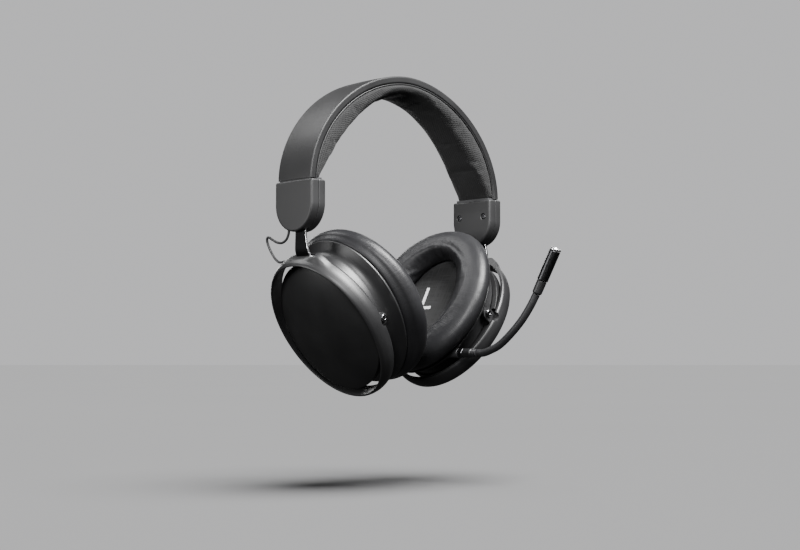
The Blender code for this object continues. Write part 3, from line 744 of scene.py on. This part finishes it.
def make_end_cap(word, side):
    """Two halves that meet at a seam, with screws inside and the band's end between them."""
    inner_x, outer_x, seam, gap = CAP_INNER_X, CAP_OUTER_X, CAP_SEAM, 0.15
    outer_layers = layered([(seam + gap, 0.35), (seam + gap, 0.15), (seam + 0.5, 0.0),
                            (outer_x, 0.0), (outer_x, 6.0)], [0.0, 0.0, 0.2, 1.5, 0.0])
    inner_layers = layered([(inner_x, 6.0), (inner_x, 0.3), (inner_x + 2.4, 0.0),
                            (seam - 0.5, 0.0), (seam - gap, 0.15), (seam - gap, 0.35)],
                           [0.0, 1.6, 1.2, 0.2, 0.0, 0.0])
    outer = skin("cap_outer_%s_shell" % word, cap_rows(side, outer_layers))
    inner = skin("cap_inner_%s_shell" % word, cap_rows(side, inner_layers))
    for cap, low, high in ((outer, seam - 1.0, outer_x - CAP_WALL),
                           (inner, inner_x + CAP_WALL, seam + 1.0)):
        layers = [Vector((low, CAP_WALL)), Vector((high, CAP_WALL))]
        carve(cap, skin("hollow", cap_rows(side, layers)))
    slot = block("slot", (side * (STRAP_X - 1.0), STRAP_NECK[0] - 0.6, CAP_TOP - 33.0 - CROWN),
                 (side * (STRAP_X + 1.0), STRAP_NECK[1] + 0.6, CAP_TOP - 26.0 - CROWN))
    wire_x, wire_y, _ = WIRE_ROUTE[0]
    wire_way = turned("wire_way", (side * wire_x, wire_y, -33.0 - CROWN), (0.0, 0.0, 1.0),
                      [(0.0, 1.3), (8.0, 1.3)], 24, 0.0)
    bottom = CAP_TOP - CAP_STRAIGHT - CAP_ROUND - CROWN
    notch = turned("notch", (side * outer_x, 0.0, bottom + 0.1), (side, 0.0, 0.0),
                   [(-1.6, 0.8), (1.0, 0.8)], 20, 0.0)
    carve(outer, slot, wire_way, notch)
    y, z = CAP_SCREW
    for end, sign in ENDS:
        centre = (side * inner_x, sign * y, z - CROWN)
        axis = (side, 0.0, 0.0)
        screw_way = [(-1.0, 2.35), (0.0, 2.35), (0.35, 2.0), (1.1, 2.0), (1.1, 1.25), (4.0, 1.25)]
        carve(inner, turned("screw_way", centre, axis, screw_way, 36, 0.0))
        screw = [(0.15, 0.0001), (0.15, 1.4), (0.45, 1.75), (0.8, 1.75), (0.8, 0.85), (5.0, 0.85)]
        head = turned("cap_screw_%s_%s_head" % (word, end), centre, axis, screw, 32, 0.15)
        for degrees in (20.0, 110.0):
            about = Matrix.Translation(Vector(centre) * MM)
            about = about @ Matrix.Rotation(math.radians(degrees), 4, "X")
            carve(head, block("cross", (-0.5, -1.1, -0.17), (0.55, 1.1, 0.17), about))
        place_piece(head, "headband", "dark_steel", "steel", "end_cap_screw_%s_%s" % (word, end))
    for cap, node in ((outer, "end_cap_outer_" + word), (inner, "end_cap_inner_" + word)):
        place_piece(cap, "headband", "cap", "cap_grey", node)
    neck = block("cap_%s_neck" % word, (side * (inner_x + 1.2), -14.4, CAP_TOP - 0.6 - CROWN),
                 (side * (outer_x - 1.4), 14.4, 0.5 - CROWN))
    place_piece(neck, "headband", "inside", "black_plastic")


# ---- yokes


def strap_stations(word, side):
    """The strap's centre line up from its foot in ring axes, smooth through its bend."""
    sine, cosine = math.sin(RING_TILT), math.cos(RING_TILT)
    pivot = middle_of("pivot_pin_%s_front" % word) / MM
    bend_h = (STRAP_X - abs(pivot.x) - STRAP_S * cosine) / sine
    bend_z = pivot.z + CROWN - STRAP_S * sine + bend_h * cosine
    upright = Vector((-side * sine, 0.0, cosine))
    foot = Vector((side * STRAP_S, 0.0, STRAP_FOOT))
    bend = Vector((side * STRAP_S, 0.0, bend_h))
    top = bend + upright * (STRAP_TOP - SLIDER_OUT[word] - bend_z)
    below = bend - Vector((0.0, 0.0, STRAP_BEND))
    above = bend + upright * STRAP_BEND
    route = [foot.lerp(below, i / 12.0) for i in range(13)]
    for i in range(1, 11):
        t = i / 11.0
        route.append(below * (1 - t) ** 2 + bend * 2 * t * (1 - t) + above * t * t)
    route += [above.lerp(top, i / 30.0) for i in range(31)]
    return route, bend, top


def make_strap(word, side, place):
    """The strap: faces of steel painted near black as a painted dark reflection, edges of plain
    bright steel, flared to the front at its foot.
    """
    route, bend, top = strap_stations(word, side)
    corner = 1.6
    rows = []
    for i, point in enumerate(route):
        run = direction_at(route, i)
        thick = Vector((run.z, 0.0, -run.x)) * (STRAP_THICKNESS / 2.0)
        past = (point - bend).length * (1.0 if point.z > bend.z - 0.5 else -1.0)
        narrow = min(1.0, max(0.0, (past + 1.0) / 11.0))
        front, rear = (mix(a, b, narrow) for a, b in zip(STRAP_FOOT_SPAN, STRAP_NECK))
        close = (top - point).length
        if close < corner:
            taper = corner - math.sqrt(max(0.0, corner ** 2 - (corner - close) ** 2))
            front, rear = front + taper, rear - taper
        low, high = Vector((0.0, front, 0.0)), Vector((0.0, rear, 0.0))
        corners = [low - thick, low + thick, high + thick, high - thick]
        rows.append([point + spot for spot in rounded(corners, 0.32, 3)])
    strap = skin("size_strap_%s_blade" % word, rows, place=place)
    place_piece(strap, "yoke_" + word, "strap", "steel", "size_strap_" + word)
    # Edge faces get the plain bright steel; the other faces keep the near-black steel, a painted
    # dark reflection.
    strap.data.materials.append(LOOK["steel"])
    for face in strap.data.polygons:
        if abs(face.normal.y) > 0.45:
            face.material_index = 1


RING_OUTER = [(3.3, 42.5, 49.2), (4.3, 43.3, 49.9), (8.5, 43.9, 50.2), (12.4, 42.7, 49.3),
              (13.6, 41.8, 48.6), (14.2, 41.1, 48.0)]
RING_INNER = [(14.2, 40.4, 47.3), (13.2, 40.3, 47.1), (10.5, 41.0, 47.4), (3.3, 41.0, 47.3)]


def make_ring(word, side, place):
    """The ring, its crown drawn flat where the strap is riveted in."""
    radii = [0.25, 0.9, 3.0, 2.0, 0.8, 0.12, 0.12, 0.8, 2.0, 0.3]
    split = (RING_OUTER[0][1] + RING_INNER[-1][1]) / 2.0
    rows = []
    for p in rounded(RING_OUTER + RING_INNER, radii, 5):
        outside = p.y > split or p.x > 11.0
        row = []
        for angle in turn(AROUND):
            y, h = p.y * math.cos(angle), p.z * math.sin(angle)
            if h > 0.0 and outside:
                ahead = smooth((24.0 + y) / 10.5) * smooth((14.0 - y) / 9.5)
                h = mix(h, CROWN_TOP, ahead * smooth((11.0 - p.x) / 4.0))
            elif h > 0.0:
                reach = smooth((15.0 - abs(y)) / 4.0) * smooth((11.5 - p.x) / 2.0)
                h = mix(h, BOSS_BOTTOM, reach)
            row.append((side * p.x, y, h))
        rows.append(row)
    ring = skin("yoke_ring_%s_body" % word, rows, closed=True, place=place)
    half = STRAP_THICKNESS / 2.0 + 0.3
    carve(ring, block("slot", (side * (STRAP_S - half), SLOT_FRONT, STRAP_FOOT - 0.3),
                      (side * (STRAP_S + half), STRAP_FOOT_SPAN[1] + 0.3, 54.0), place))
    for end, sign in ENDS:
        notch, ear = 3.3, 3.6
        pin_way = [(side * (2.9 + notch * math.cos(angle)), notch * math.sin(angle))
                   for angle in arc(-math.pi / 2.0, math.pi, 24)]
        pin_way += [(0.0, notch), (0.0, -notch)]
        carve(ring, prism("notch", pin_way, sign * (EAR_OUTER + 0.3), sign * (EAR_OUTER + 7.0),
                          place))
        outline = [(side * ear * math.cos(angle), ear * math.sin(angle))
                   for angle in arc(math.pi / 2.0, math.pi, 24)]
        outline += [(side * 8.7, -ear), (side * 8.7, ear)]
        tab = prism("tab", outline, sign * EAR_INNER, sign * EAR_OUTER, place)
        carve(tab, block("root", (side * 6.4, sign * (EAR_OUTER - 0.6), -3.4),
                         (side * 8.5, sign * 41.6, 3.4), place), operation="UNION")
        carve(ring, tab, operation="UNION")
        along_y, along_s = (0.0, sign, 0.0), (side, 0.0, 0.0)
        pin_hole = turned("pin_hole", (0.0, sign * (EAR_INNER - 1.4), 0.0), along_y,
                          [(0.0, PIN_WAY), (6.0, PIN_WAY)], 28, 0.0, place)
        rivet_way = turned("rivet_way", (side * 1.5, RIVET_Y[end], RIVET_HEIGHT), along_s,
                           [(0.0, 1.15), (8.0, 1.15)], 24, 0.0, place)
        carve(ring, pin_hole, rivet_way)
        domed = [(-0.25, 0.0001), (-0.2, 0.6), (0.1, 0.85), (5.6, 0.85)]
        fit("rivet_%s_%s_domed" % (word, end), (side * 3.5, RIVET_Y[end], RIVET_HEIGHT), along_s,
            domed, 24, 0.2, "yoke_" + word, "dark_steel", "steel",
            "strap_rivet_%s_%s" % (word, end), place=place)
        flanged = [(31.5, 0.0001), (31.5, 1.5), (39.2, 1.5), (39.2, 2.35), (40.3, 2.35),
                   (40.7, 1.8), (40.7, 1.1), (40.2, 0.9), (40.2, 0.0001)]
        fit("pivot_pin_%s_%s_turned" % (word, end), (0.0, 0.0, 0.0), along_y, flanged, 36, 0.18,
            "yoke_" + word, "pin", "steel", "pivot_pin_%s_%s" % (word, end), place=place)
    place_piece(ring, "yoke_" + word, "ring", "black_plastic", "yoke_ring_" + word)


WIRE_ROUTE = ((80.0, 9.0, -29.2), (80.0, 9.6, -32.6), (80.0, 11.8, -35.8), (80.0, 15.6, -37.4),
              (80.0, 20.0, -37.0), (80.0, 24.6, -35.2), (79.8, 28.4, -33.4), (79.4, 30.9, -33.6),
              (78.8, 31.3, -36.0), (77.8, 29.6, -39.8), (76.7, 27.2, -43.2), (75.9, 24.2, -45.4),
              (75.7, 21.2, -45.9), (75.7, 18.6, -45.6), (75.6, 16.8, -46.6), (75.6, 16.2, -48.4))
WIRE_FOLLOWS = (0.0,) * 8 + (0.2, 0.5, 0.8) + (1.0,) * 5


def make_wire(word, side):
    """The lead from the cap to the ring: its lower end is shifted with the ring's slider setting.
    """
    lower = SLIDER_OUT[word] - 2.2
    route = [Vector((side * x, y, z - CROWN - share * lower))
             for (x, y, z), share in zip(WIRE_ROUTE, WIRE_FOLLOWS)]
    wire = tube("wire_%s_lead" % word, smooth_route(route, 6), 0.8, 14)
    place_piece(wire, None, "rubber", "rubber", "signal_wire_" + word)
    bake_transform(wire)


# ---- cups


def oval_rows(side, profile, count=AROUND):
    """Ovals square to s from (s, half width, half height)."""
    return [[(side * p[0], p[1] * math.cos(angle), p[2] * math.sin(angle))
             for angle in turn(count, 0.5)] for p in profile]


SHELL = [(-10.7, 44.3, 49.0), (-9.7, 44.3, 49.0), (-8.4, 41.9, 46.9), (-6.2, 38.2, 43.5),
         (-4.0, 36.1, 42.5), (-2.0, 35.4, 42.3), (4.2, 35.2, 42.3),
         (4.2, 32.9, 38.8), (-3.4, 33.0, 38.9), (-6.8, 36.0, 41.4), (-10.7, 41.4, 46.2)]
SHELL_RADII = [0.3, 0.35, 1.2, 3.0, 2.0, 2.0, 0.4, 0.3, 1.0, 1.0, 0.3]


def make_lid(word, side, place):
    """A dome that rolls over to a crisp rim."""
    half_y, half_h, rim, crown = 39.0, 43.1, 10.2, 17.8
    rows = [(15.0, 9.0, 10.0), (8.6, 34.8, 40.7), (4.6, 35.1, 41.0), (4.6, 39.1, 43.2),
            (9.6, 39.3, 43.4), (rim, half_y, half_h)]
    profile = rounded(rows, [0.0, 1.0, 0.3, 0.3, 0.3, 0.0], 4, closed=False)
    for i in range(1, 25):
        rho = 1.0 - i / 25.0
        s = rim + (crown - rim) * (1.0 - rho ** 2.3) ** 0.9
        profile.append(Vector((s, half_y * rho, half_h * rho)))
    lid = skin("outer_cap_%s_dome" % word, oval_rows(side, profile), place=place)
    for _, sign in ENDS:
        carve(lid, block("ear_room", (side * 3.0, sign * (EAR_INNER - 0.4), -6.3),
                         (side * 9.7, sign * (EAR_INNER + 8.0), 6.3), place))
    place_piece(lid, "cup_" + word, "lid", "lid_black", "outer_cap_" + word)


PAD = [(-11.4, 43.9, 48.4), (-13.2, 46.0, 49.8), (-16.5, 49.0, 51.0), (-20.0, 51.0, 51.6),
       (-23.4, 50.9, 50.8), (-26.2, 48.4, 48.2), (-28.3, 44.0, 44.8), (-29.0, 38.6, 41.0),
       (-28.3, 32.8, 37.4), (-26.2, 28.2, 34.8), (-22.8, 25.6, 32.9), (-18.0, 24.9, 32.2),
       (-14.4, 25.4, 32.4), (-14.1, 27.5, 34.2), (-13.7, 41.6, 46.6), (-11.4, 43.3, 47.9)]
PAD_AROUND = 168
PAD_SECTION = 42
PAD_HELD = -15.2
PAD_MIDDLE = (-21.0, 39.0, 42.0)


def make_pad(word, side, place):
    """A leather cover blown up over its foam ring, gathered where it is sewn at the opening."""
    outline = evened_count(rounded(PAD, 2.0, 4), PAD_SECTION)
    pad = skin("ear_pad_%s_leather" % word, oval_rows(side, outline, PAD_AROUND), closed=True,
               sharp=180.0)

    def held(spot):
        return spot.x * side / MM > PAD_HELD

    inflate(pad, held, 0.8, 4.0, 0.02)
    gather(pad, side)
    refine(pad)
    pad.data.transform(place)
    for vertex in pad.data.vertices:
        vertex.co.x = side * max(side * vertex.co.x, 0.3 * MM)
    place_piece(pad, "cup_" + word, "leather", "leather", "ear_pad_" + word)


def gather(pad, side):
    """Folds that run outward from the inner seam, and long shallow ones over the roll."""
    middle_s, middle_y, middle_h = PAD_MIDDLE
    for vertex in pad.data.vertices:
        s, y, h = side * vertex.co.x / MM, vertex.co.y / MM, vertex.co.z / MM
        off_axis = max(math.hypot(y, h), 1.0)
        angle = math.atan2(h, y)
        seam = smooth((0.98 - math.hypot(y / 38.5, h / 43.5)) / 0.2) * smooth((-14.8 - s) / 3.0)
        roll = smooth((-15.5 - s) / 5.0)
        fold = noise.noise(Vector((math.cos(angle) * 7.0, math.sin(angle) * 7.0, side * 3.0)))
        fine = noise.noise(Vector((math.cos(angle) * 16.0, math.sin(angle) * 16.0, s * 0.07)))
        depth = seam * (0.42 * fold + 0.30 * fine) + roll * 0.10 * fine
        away = Vector((side * (s - middle_s) * 0.5, y * (1.0 - middle_y / off_axis),
                       h * (1.0 - middle_h / off_axis)))
        if away.length > 1e-6:
            vertex.co += away.normalized() * depth * MM


SCRIM_HALF = (24.9, 31.9)
LETTER_SIZE = 24.0
LETTER_S = -14.35
LETTER_Y = 5.0
LETTER_RISE = 3.5


def make_scrim(word, side, place):
    """A disc of cloth over the driver, pushed up a little by the grille behind it."""
    half_y, half_h = SCRIM_HALF
    rows = [(-13.45, half_y, half_h)]
    for i in range(30):
        rho = 1.0 - i / 30.0
        rows.append((-13.75 - 0.5 * (1.0 - rho ** 2), half_y * rho, half_h * rho))
    back = [(s + 0.3, y, h) for s, y, h in rows[1:]]
    front = oval_rows(side, rows, 96)
    rear = oval_rows(side, back, 96)
    scrim = skin("scrim_%s_cloth" % word, list(reversed(rear[1:])) + front[1:], place=place)
    place_piece(scrim, "cup_" + word, "scrim", "scrim", "scrim_" + word)


def make_letter(word, side, place):
    """The side's initial, printed on the scrim."""
    letter = bpy.data.curves.new("letter", "FONT")
    letter.body = word[0].upper()
    letter.size = LETTER_SIZE * MM
    letter.align_x = "CENTER"
    letter.align_y = "CENTER"
    letter.extrude = 0.06 * MM
    drawn = add_object("letter", letter)
    mesh = final_mesh(drawn)
    bpy.data.objects.remove(drawn, do_unlink=True)
    facing = Matrix(((0.0, 0.0, -side, side * LETTER_S * MM), (-side, 0.0, 0.0, LETTER_Y * MM),
                     (0.0, 1.0, 0.0, LETTER_RISE * MM), (0.0, 0.0, 0.0, 1.0)))
    mesh.transform(place @ facing)
    place_piece(add_object("side_mark_" + word, mesh), "cup_" + word, "mark", "scrim")


def stadium(side, radius, low, high, place):
    """A slot-shaped prism along y, long in h."""
    outline = [(side * CONTROL_S + sign * radius * math.cos(angle),
                PORT_H + sign * (3.0 + radius * math.sin(angle)))
               for sign in (1.0, -1.0) for angle in arc(0.0, math.pi, 12)]
    return prism("stadium", outline, low, high, place)


def make_shell(word, side, place):
    profile = rounded(SHELL, SHELL_RADII, 6)
    shell = skin("cup_shell_%s_body" % word, oval_rows(side, profile), closed=True, place=place)
    for _, sign in ENDS:
        carve(shell, turned("pin_way", (0.0, sign * 30.0, 0.0), (0.0, sign, 0.0),
                            [(0.0, PIN_WAY), (8.0, PIN_WAY)], 28, 0.0, place))
    if word == "left":
        make_controls(shell, side, place)
    place_piece(shell, "cup_" + word, "shell", "black_plastic", "cup_shell_" + word)
    baffle = rounded([(-13.0, 43.0, 47.7), (-11.0, 43.0, 47.7), (-11.0, 20.5, 20.5),
                      (-13.0, 20.5, 20.5)], 0.3, 3)
    plate = skin("baffle_%s_plate" % word, oval_rows(side, baffle), closed=True, place=place)
    place_piece(plate, "cup_" + word, "inside", "black_plastic", "baffle_" + word)


def make_controls(shell, side, place):
    """The raised panel behind the left cup: wheel, two buttons and the charging inlet."""
    pod_y, pod_h = POD_SIZE
    rise = rounded([(-10.6, pod_y, pod_h), (-4.9, pod_y, pod_h), (-3.9, pod_y - 1.3, pod_h - 1.3)],
                   [0.0, 0.8, 0.0], 5, closed=False)
    pod = skin("pod", oval_rows(side, rise), place=place)
    corners = ((-12.0, -24.0), (0.0, -24.0), (0.0, 26.0), (-12.0, 26.0))
    outline = rounded([(side * s, h, 0.0) for s, h in corners], 2.5, 6)
    carve(pod, prism("limit", [(p.x, p.y) for p in outline], 31.0, 50.0, place),
          operation="INTERSECT")
    carve(shell, pod, operation="UNION")
    rearward, forward = (0.0, 1.0, 0.0), (0.0, -1.0, 0.0)
    socket = (side * SOCKET[0], 0.0, SOCKET[1])
    tools = [block("wheel_way", (side * (CONTROL_S - 1.9), 28.0, WHEEL_H - 6.4),
                   (side * (CONTROL_S + 1.9), 52.0, WHEEL_H + 6.4), place),
             stadium(side, 1.9, 31.8, 47.8, place),
             turned("socket_way", socket, forward, [(20.0, 3.3), (44.0, 3.3)], 36, 0.0, place)]
    for height in BUTTON_HEIGHTS.values():
        tools.append(turned("button_way", (side * CONTROL_S, 30.0, height), rearward,
                            [(0.0, 2.9), (18.0, 2.9)], 36, 0.0, place))
    carve(shell, *tools)

    def knurl(angle, _):
        return 0.16 * math.cos(angle * 36.0)

    rim = [(0.0, 3.0), (0.0, 5.4), (0.5, 5.85), (2.5, 5.85), (3.0, 5.4), (3.0, 3.0)]
    fit("volume_wheel_knurled", (side * (CONTROL_S - 1.5), 37.4, WHEEL_H), (side, 0.0, 0.0), rim,
        216, 0.25, "volume_wheel", "rubber", "rubber", "volume_wheel", place=place, tooth=knurl)
    for name, height in BUTTON_HEIGHTS.items():
        face = pod_y * math.sqrt(1.0 - (height / pod_h) ** 2) + 1.0
        dished = [(34.8, 2.6), (face - 0.4, 2.6), (face, 2.2), (face, 1.6), (face - 0.25, 1.2),
                  (face - 0.25, 0.0001)]
        fit(name + "_cap", (side * CONTROL_S, 0.0, height), rearward, dished, 48, 0.3,
            name, "cap", "cap_grey", name, place=place)
    port = stadium(side, 1.6, 35.4, 43.4, place)
    carve(port, stadium(side, 1.2, 36.8, 44.8, place))
    port.name = "charge_port_shell"
    place_piece(port, "cup_left", "steel", "steel", "charge_port")
    tongue = block("charge_port_tongue", (side * CONTROL_S - 0.35, 36.6, PORT_H - 2.4),
                   (side * CONTROL_S + 0.35, 42.4, PORT_H + 2.4), place)
    place_piece(tongue, "cup_left", "inside", "black_plastic")
    hollow = [(21.0, 3.0), (34.7, 3.0), (35.0, 2.7), (35.0, 2.3), (34.8, 2.05), (21.0, 2.05)]
    sleeve = skin("mic_socket_sleeve", turned_rows(socket, forward, hollow, 40), closed=True,
                  place=place)
    place_piece(sleeve, "cup_left", "inside", "black_plastic", "mic_socket")


# ---- microphone

BOOM_ROUTE = ((24.5, -51.4, -104.9), (24.6, -55.0, -104.6), (24.9, -60.0, -103.2),
              (25.9, -67.5, -99.8), (26.9, -76.0, -93.0), (28.2, -84.0, -84.6),
              (29.4, -90.0, -76.0), (30.4, -93.8, -69.0))
CAPSULE_END = (34.0, -106.6, -41.3)
SOCKET_MOUTH = -35.0


def make_microphone():
    """Plug, strain relief, gooseneck and capsule, from the socket's mouth on."""
    plug = middle_of("mic_plug_collar") / MM
    mouth = Vector((plug.x, SOCKET_MOUTH, plug.z))
    axis = Vector((0.0, -1.0, 0.0))
    jack = [(-14.0, 0.0001), (-14.0, 0.7), (-12.6, 1.75), (-11.2, 1.2), (-10.6, 1.75), (0.0, 1.75)]
    fit("mic_jack_pin_turned", mouth, axis, jack, 32, 0.2, "mic_plug", "steel", "steel",
        "mic_jack_pin")

    def knurl(angle, along):
        middle = smooth((along - 0.9) / 0.4) * smooth((3.7 - along) / 0.4)
        return 0.09 * math.cos(angle * 30.0) * middle

    grip = [(0.3, 2.0), (0.3, 2.7), (0.7, 3.0), (0.9, 3.0), (1.3, 2.9), (3.3, 2.9), (3.7, 3.0),
            (3.9, 3.0), (4.3, 2.7), (4.3, 2.0)]
    fit("mic_plug_collar_knurled", mouth, axis, grip, 180, 0.12, "mic_plug", "dark_steel",
        "steel", "mic_plug_collar", tooth=knurl)
    sleeve = [(4.6, 2.0), (4.6, 2.85), (10.4, 2.9), (11.3, 2.4), (11.3, 1.8)]
    fit("mic_plug_sleeve_grip", mouth, axis, sleeve, 48, 0.3, "mic_boom", "shell",
        "black_plastic", "mic_plug_sleeve")
    rings = [(11.6, 1.8), (11.6, 2.6), (12.4, 2.6), (12.4, 2.1), (13.0, 2.1), (13.0, 2.6),
             (13.8, 2.6), (13.8, 2.1), (14.4, 2.1), (14.4, 2.5), (15.2, 2.5), (15.2, 1.8)]
    fit("mic_strain_relief_rings", mouth, axis, rings, 40, 0.14, "mic_boom", "rubber", "rubber",
        "mic_strain_relief")

    route = [Vector((x, y, z - CROWN)) for x, y, z in BOOM_ROUTE]
    route[0].x, route[0].z = plug.x, plug.z
    neck = tube("gooseneck_sheath", smooth_route(route, 14), 2.4, 28)
    place_piece(neck, "mic_boom", "rubber", "rubber", "gooseneck")
    start = route[-1]
    end = Vector((*CAPSULE_END[:2], CAPSULE_END[2] - CROWN))
    along = (end - start).normalized()
    length = (end - start).length
    cuff = [(0.3, 1.8), (0.3, 2.5), (1.2, 3.0), (8.6, 3.1), (8.9, 2.9), (8.9, 2.0)]
    fit("capsule_cuff", start, along, cuff, 40, 0.3, "mic_boom", "shell", "black_plastic",
        "capsule_sleeve")
    barrel = [(9.2, 2.0), (9.2, 3.2), (9.6, 3.45), (length - 2.2, 3.5), (length - 1.7, 3.3),
              (length - 1.7, 2.0)]
    fit("capsule_barrel_turned", start, along, barrel, 64, 0.25, "mic_boom", "capsule",
        "capsule_metal", "capsule_barrel")
    tip = [(length - 1.4, 2.0), (length - 1.4, 3.5), (length - 0.35, 3.5), (length, 3.15),
           (length, 2.5), (length - 0.25, 2.3), (length - 0.25, 0.0001)]
    fit("capsule_end_disc", start, along, tip, 64, 0.14, "mic_boom", "steel", "capsule_metal",
        "capsule_end")


# ---- pieces that stay as CAD made them

CARRIED = {
    "headband_spring": "steel", "headband_liner": "inside",
    "slider_guide_left": "inside", "slider_guide_right": "inside",
    "driver_basket_left": "inside", "driver_basket_right": "inside",
    "driver_magnet_left": "steel", "driver_magnet_right": "steel",
    "circuit_board": "board", "battery": "cell",
}


def dress_carried():
    for name, look in CARRIED.items():
        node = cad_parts[name]
        node.data.materials.clear()
        node.data.materials.append(LOOK[look])


# ---- stage, light and camera; metres

FLOOR_Z = -0.247
FLOOR_RADIUS = 60.0
MIDDLE = (0.0, 0.0, -0.12)
SUN_POWER = 3.3
SUN_SPREAD = math.radians(50.0)
SUN_TURN = (math.radians(12.0), math.radians(8.0), 0.0)
# Name, place, target, width, height and watts.
SOFTBOXES = (
    ("overhead", (0.03, -0.50, 0.62), MIDDLE, 0.40, 0.50, 50.0),
    ("left_key", (-0.86, -0.68, 0.30), MIDDLE, 0.42, 0.42, 17.0),
    ("back_top", (-0.28, 0.48, 0.60), MIDDLE, 0.40, 0.30, 3.5),
    ("left_low", (-0.60, 0.20, -0.05), (-0.07, 0.0, -0.13), 0.25, 0.22, 2.2),
    ("rear_rim", (0.75, 0.45, 0.30), MIDDLE, 0.35, 0.7, 2.0),
    ("rear_fill", (0.48, 0.98, 0.05), MIDDLE, 0.5, 0.5, 5.0),
)
CAMERA_PLACE = (-0.6277, -0.6510, -0.1706)
CAMERA_AHEAD = (0.6959, 0.7154, 0.0625)
CAMERA_RIGHT = (0.7166, -0.6975, 0.0)
LENS = 63.36
SENSOR = 36.0


def make_stage():
    shape = bmesh.new()
    bmesh.ops.create_circle(shape, cap_ends=True, segments=64, radius=FLOOR_RADIUS,
                            matrix=Matrix.Translation((0.0, 0.0, FLOOR_Z)))
    floor = make_piece("floor", shape)
    look, tree, shader = new_look("floor_paper", (0.55, 0.55, 0.555), 0.8)
    slow = grain_of(tree, object_axes(tree), 2.0, 2.0)
    painted(tree, shader, slow, (0.54, 0.54, 0.545), (0.56, 0.56, 0.565))
    floor.data.materials.append(look)
    floor.visible_glossy = False
    floor.visible_diffuse = False
    make_world()
    return floor


def make_world():
    """Pale behind the floor's far edge, dark where the part is lit from."""
    world = bpy.data.worlds.new("studio")
    bpy.context.scene.world = world
    world.use_nodes = True
    tree = world.node_tree
    background = tree.nodes["Background"]
    background.inputs["Strength"].default_value = 1.0
    rays = add_node(tree, "ShaderNodeLightPath").outputs["Is Camera Ray"]
    feed(tree, background.inputs["Color"],
         tinted(tree, rays, (0.05, 0.05, 0.051), (0.62, 0.62, 0.63)))


def softbox(name, place, target, width, height, power):
    light = bpy.data.lights.new(name, "AREA")
    light.shape = "RECTANGLE"
    light.size = width
    light.size_y = height
    light.energy = power
    lamp = add_object(name, light)
    lamp.location = place
    toward = Vector(target) - Vector(place)
    lamp.rotation_euler = toward.to_track_quat("-Z", "Y").to_euler()
    return lamp


def aim_at(lamp, floor, lit):
    """Keeps a light to the floor alone, or off the floor."""
    group = bpy.data.collections.new(lamp.name + "_receivers")
    group.objects.link(floor)
    lamp.light_linking.receiver_collection = group
    if not lit:
        group.collection_objects[0].light_linking.link_state = "EXCLUDE"


def make_lights(floor):
    for row in SOFTBOXES:
        lamp = softbox(*row)
        lamp.visible_camera = False
        aim_at(lamp, floor, False)
    sun = bpy.data.lights.new("ceiling", "SUN")
    sun.energy = SUN_POWER
    sun.angle = SUN_SPREAD
    lamp = add_object("ceiling", sun)
    lamp.rotation_euler = SUN_TURN
    aim_at(lamp, floor, True)


def make_camera():
    camera = bpy.data.cameras.new("camera")
    camera.lens = LENS
    camera.sensor_width = SENSOR
    camera.clip_start = 0.05
    camera.clip_end = 200.0
    ahead = Vector(CAMERA_AHEAD).normalized()
    right = Vector(CAMERA_RIGHT)
    right = (right - ahead * right.dot(ahead)).normalized()
    up = right.cross(ahead)
    place = Matrix((right, up, -ahead)).transposed().to_4x4()
    place.translation = Vector(CAMERA_PLACE)
    view = add_object("camera", camera)
    view.matrix_world = place
    bpy.context.scene.camera = view


make_camera()
make_lights(make_stage())
make_headband()
for word, side in SIDES:
    ring_place = pivot_matrix(word, side, RING_TILT)
    cup_place = pivot_matrix(word, side, CUP_TILT)
    make_end_cap(word, side)
    make_strap(word, side, ring_place)
    make_ring(word, side, ring_place)
    make_wire(word, side)
    make_shell(word, side, cup_place)
    make_lid(word, side, cup_place)
    make_pad(word, side, cup_place)
    make_scrim(word, side, cup_place)
    make_letter(word, side, cup_place)
make_microphone()
dress_carried()
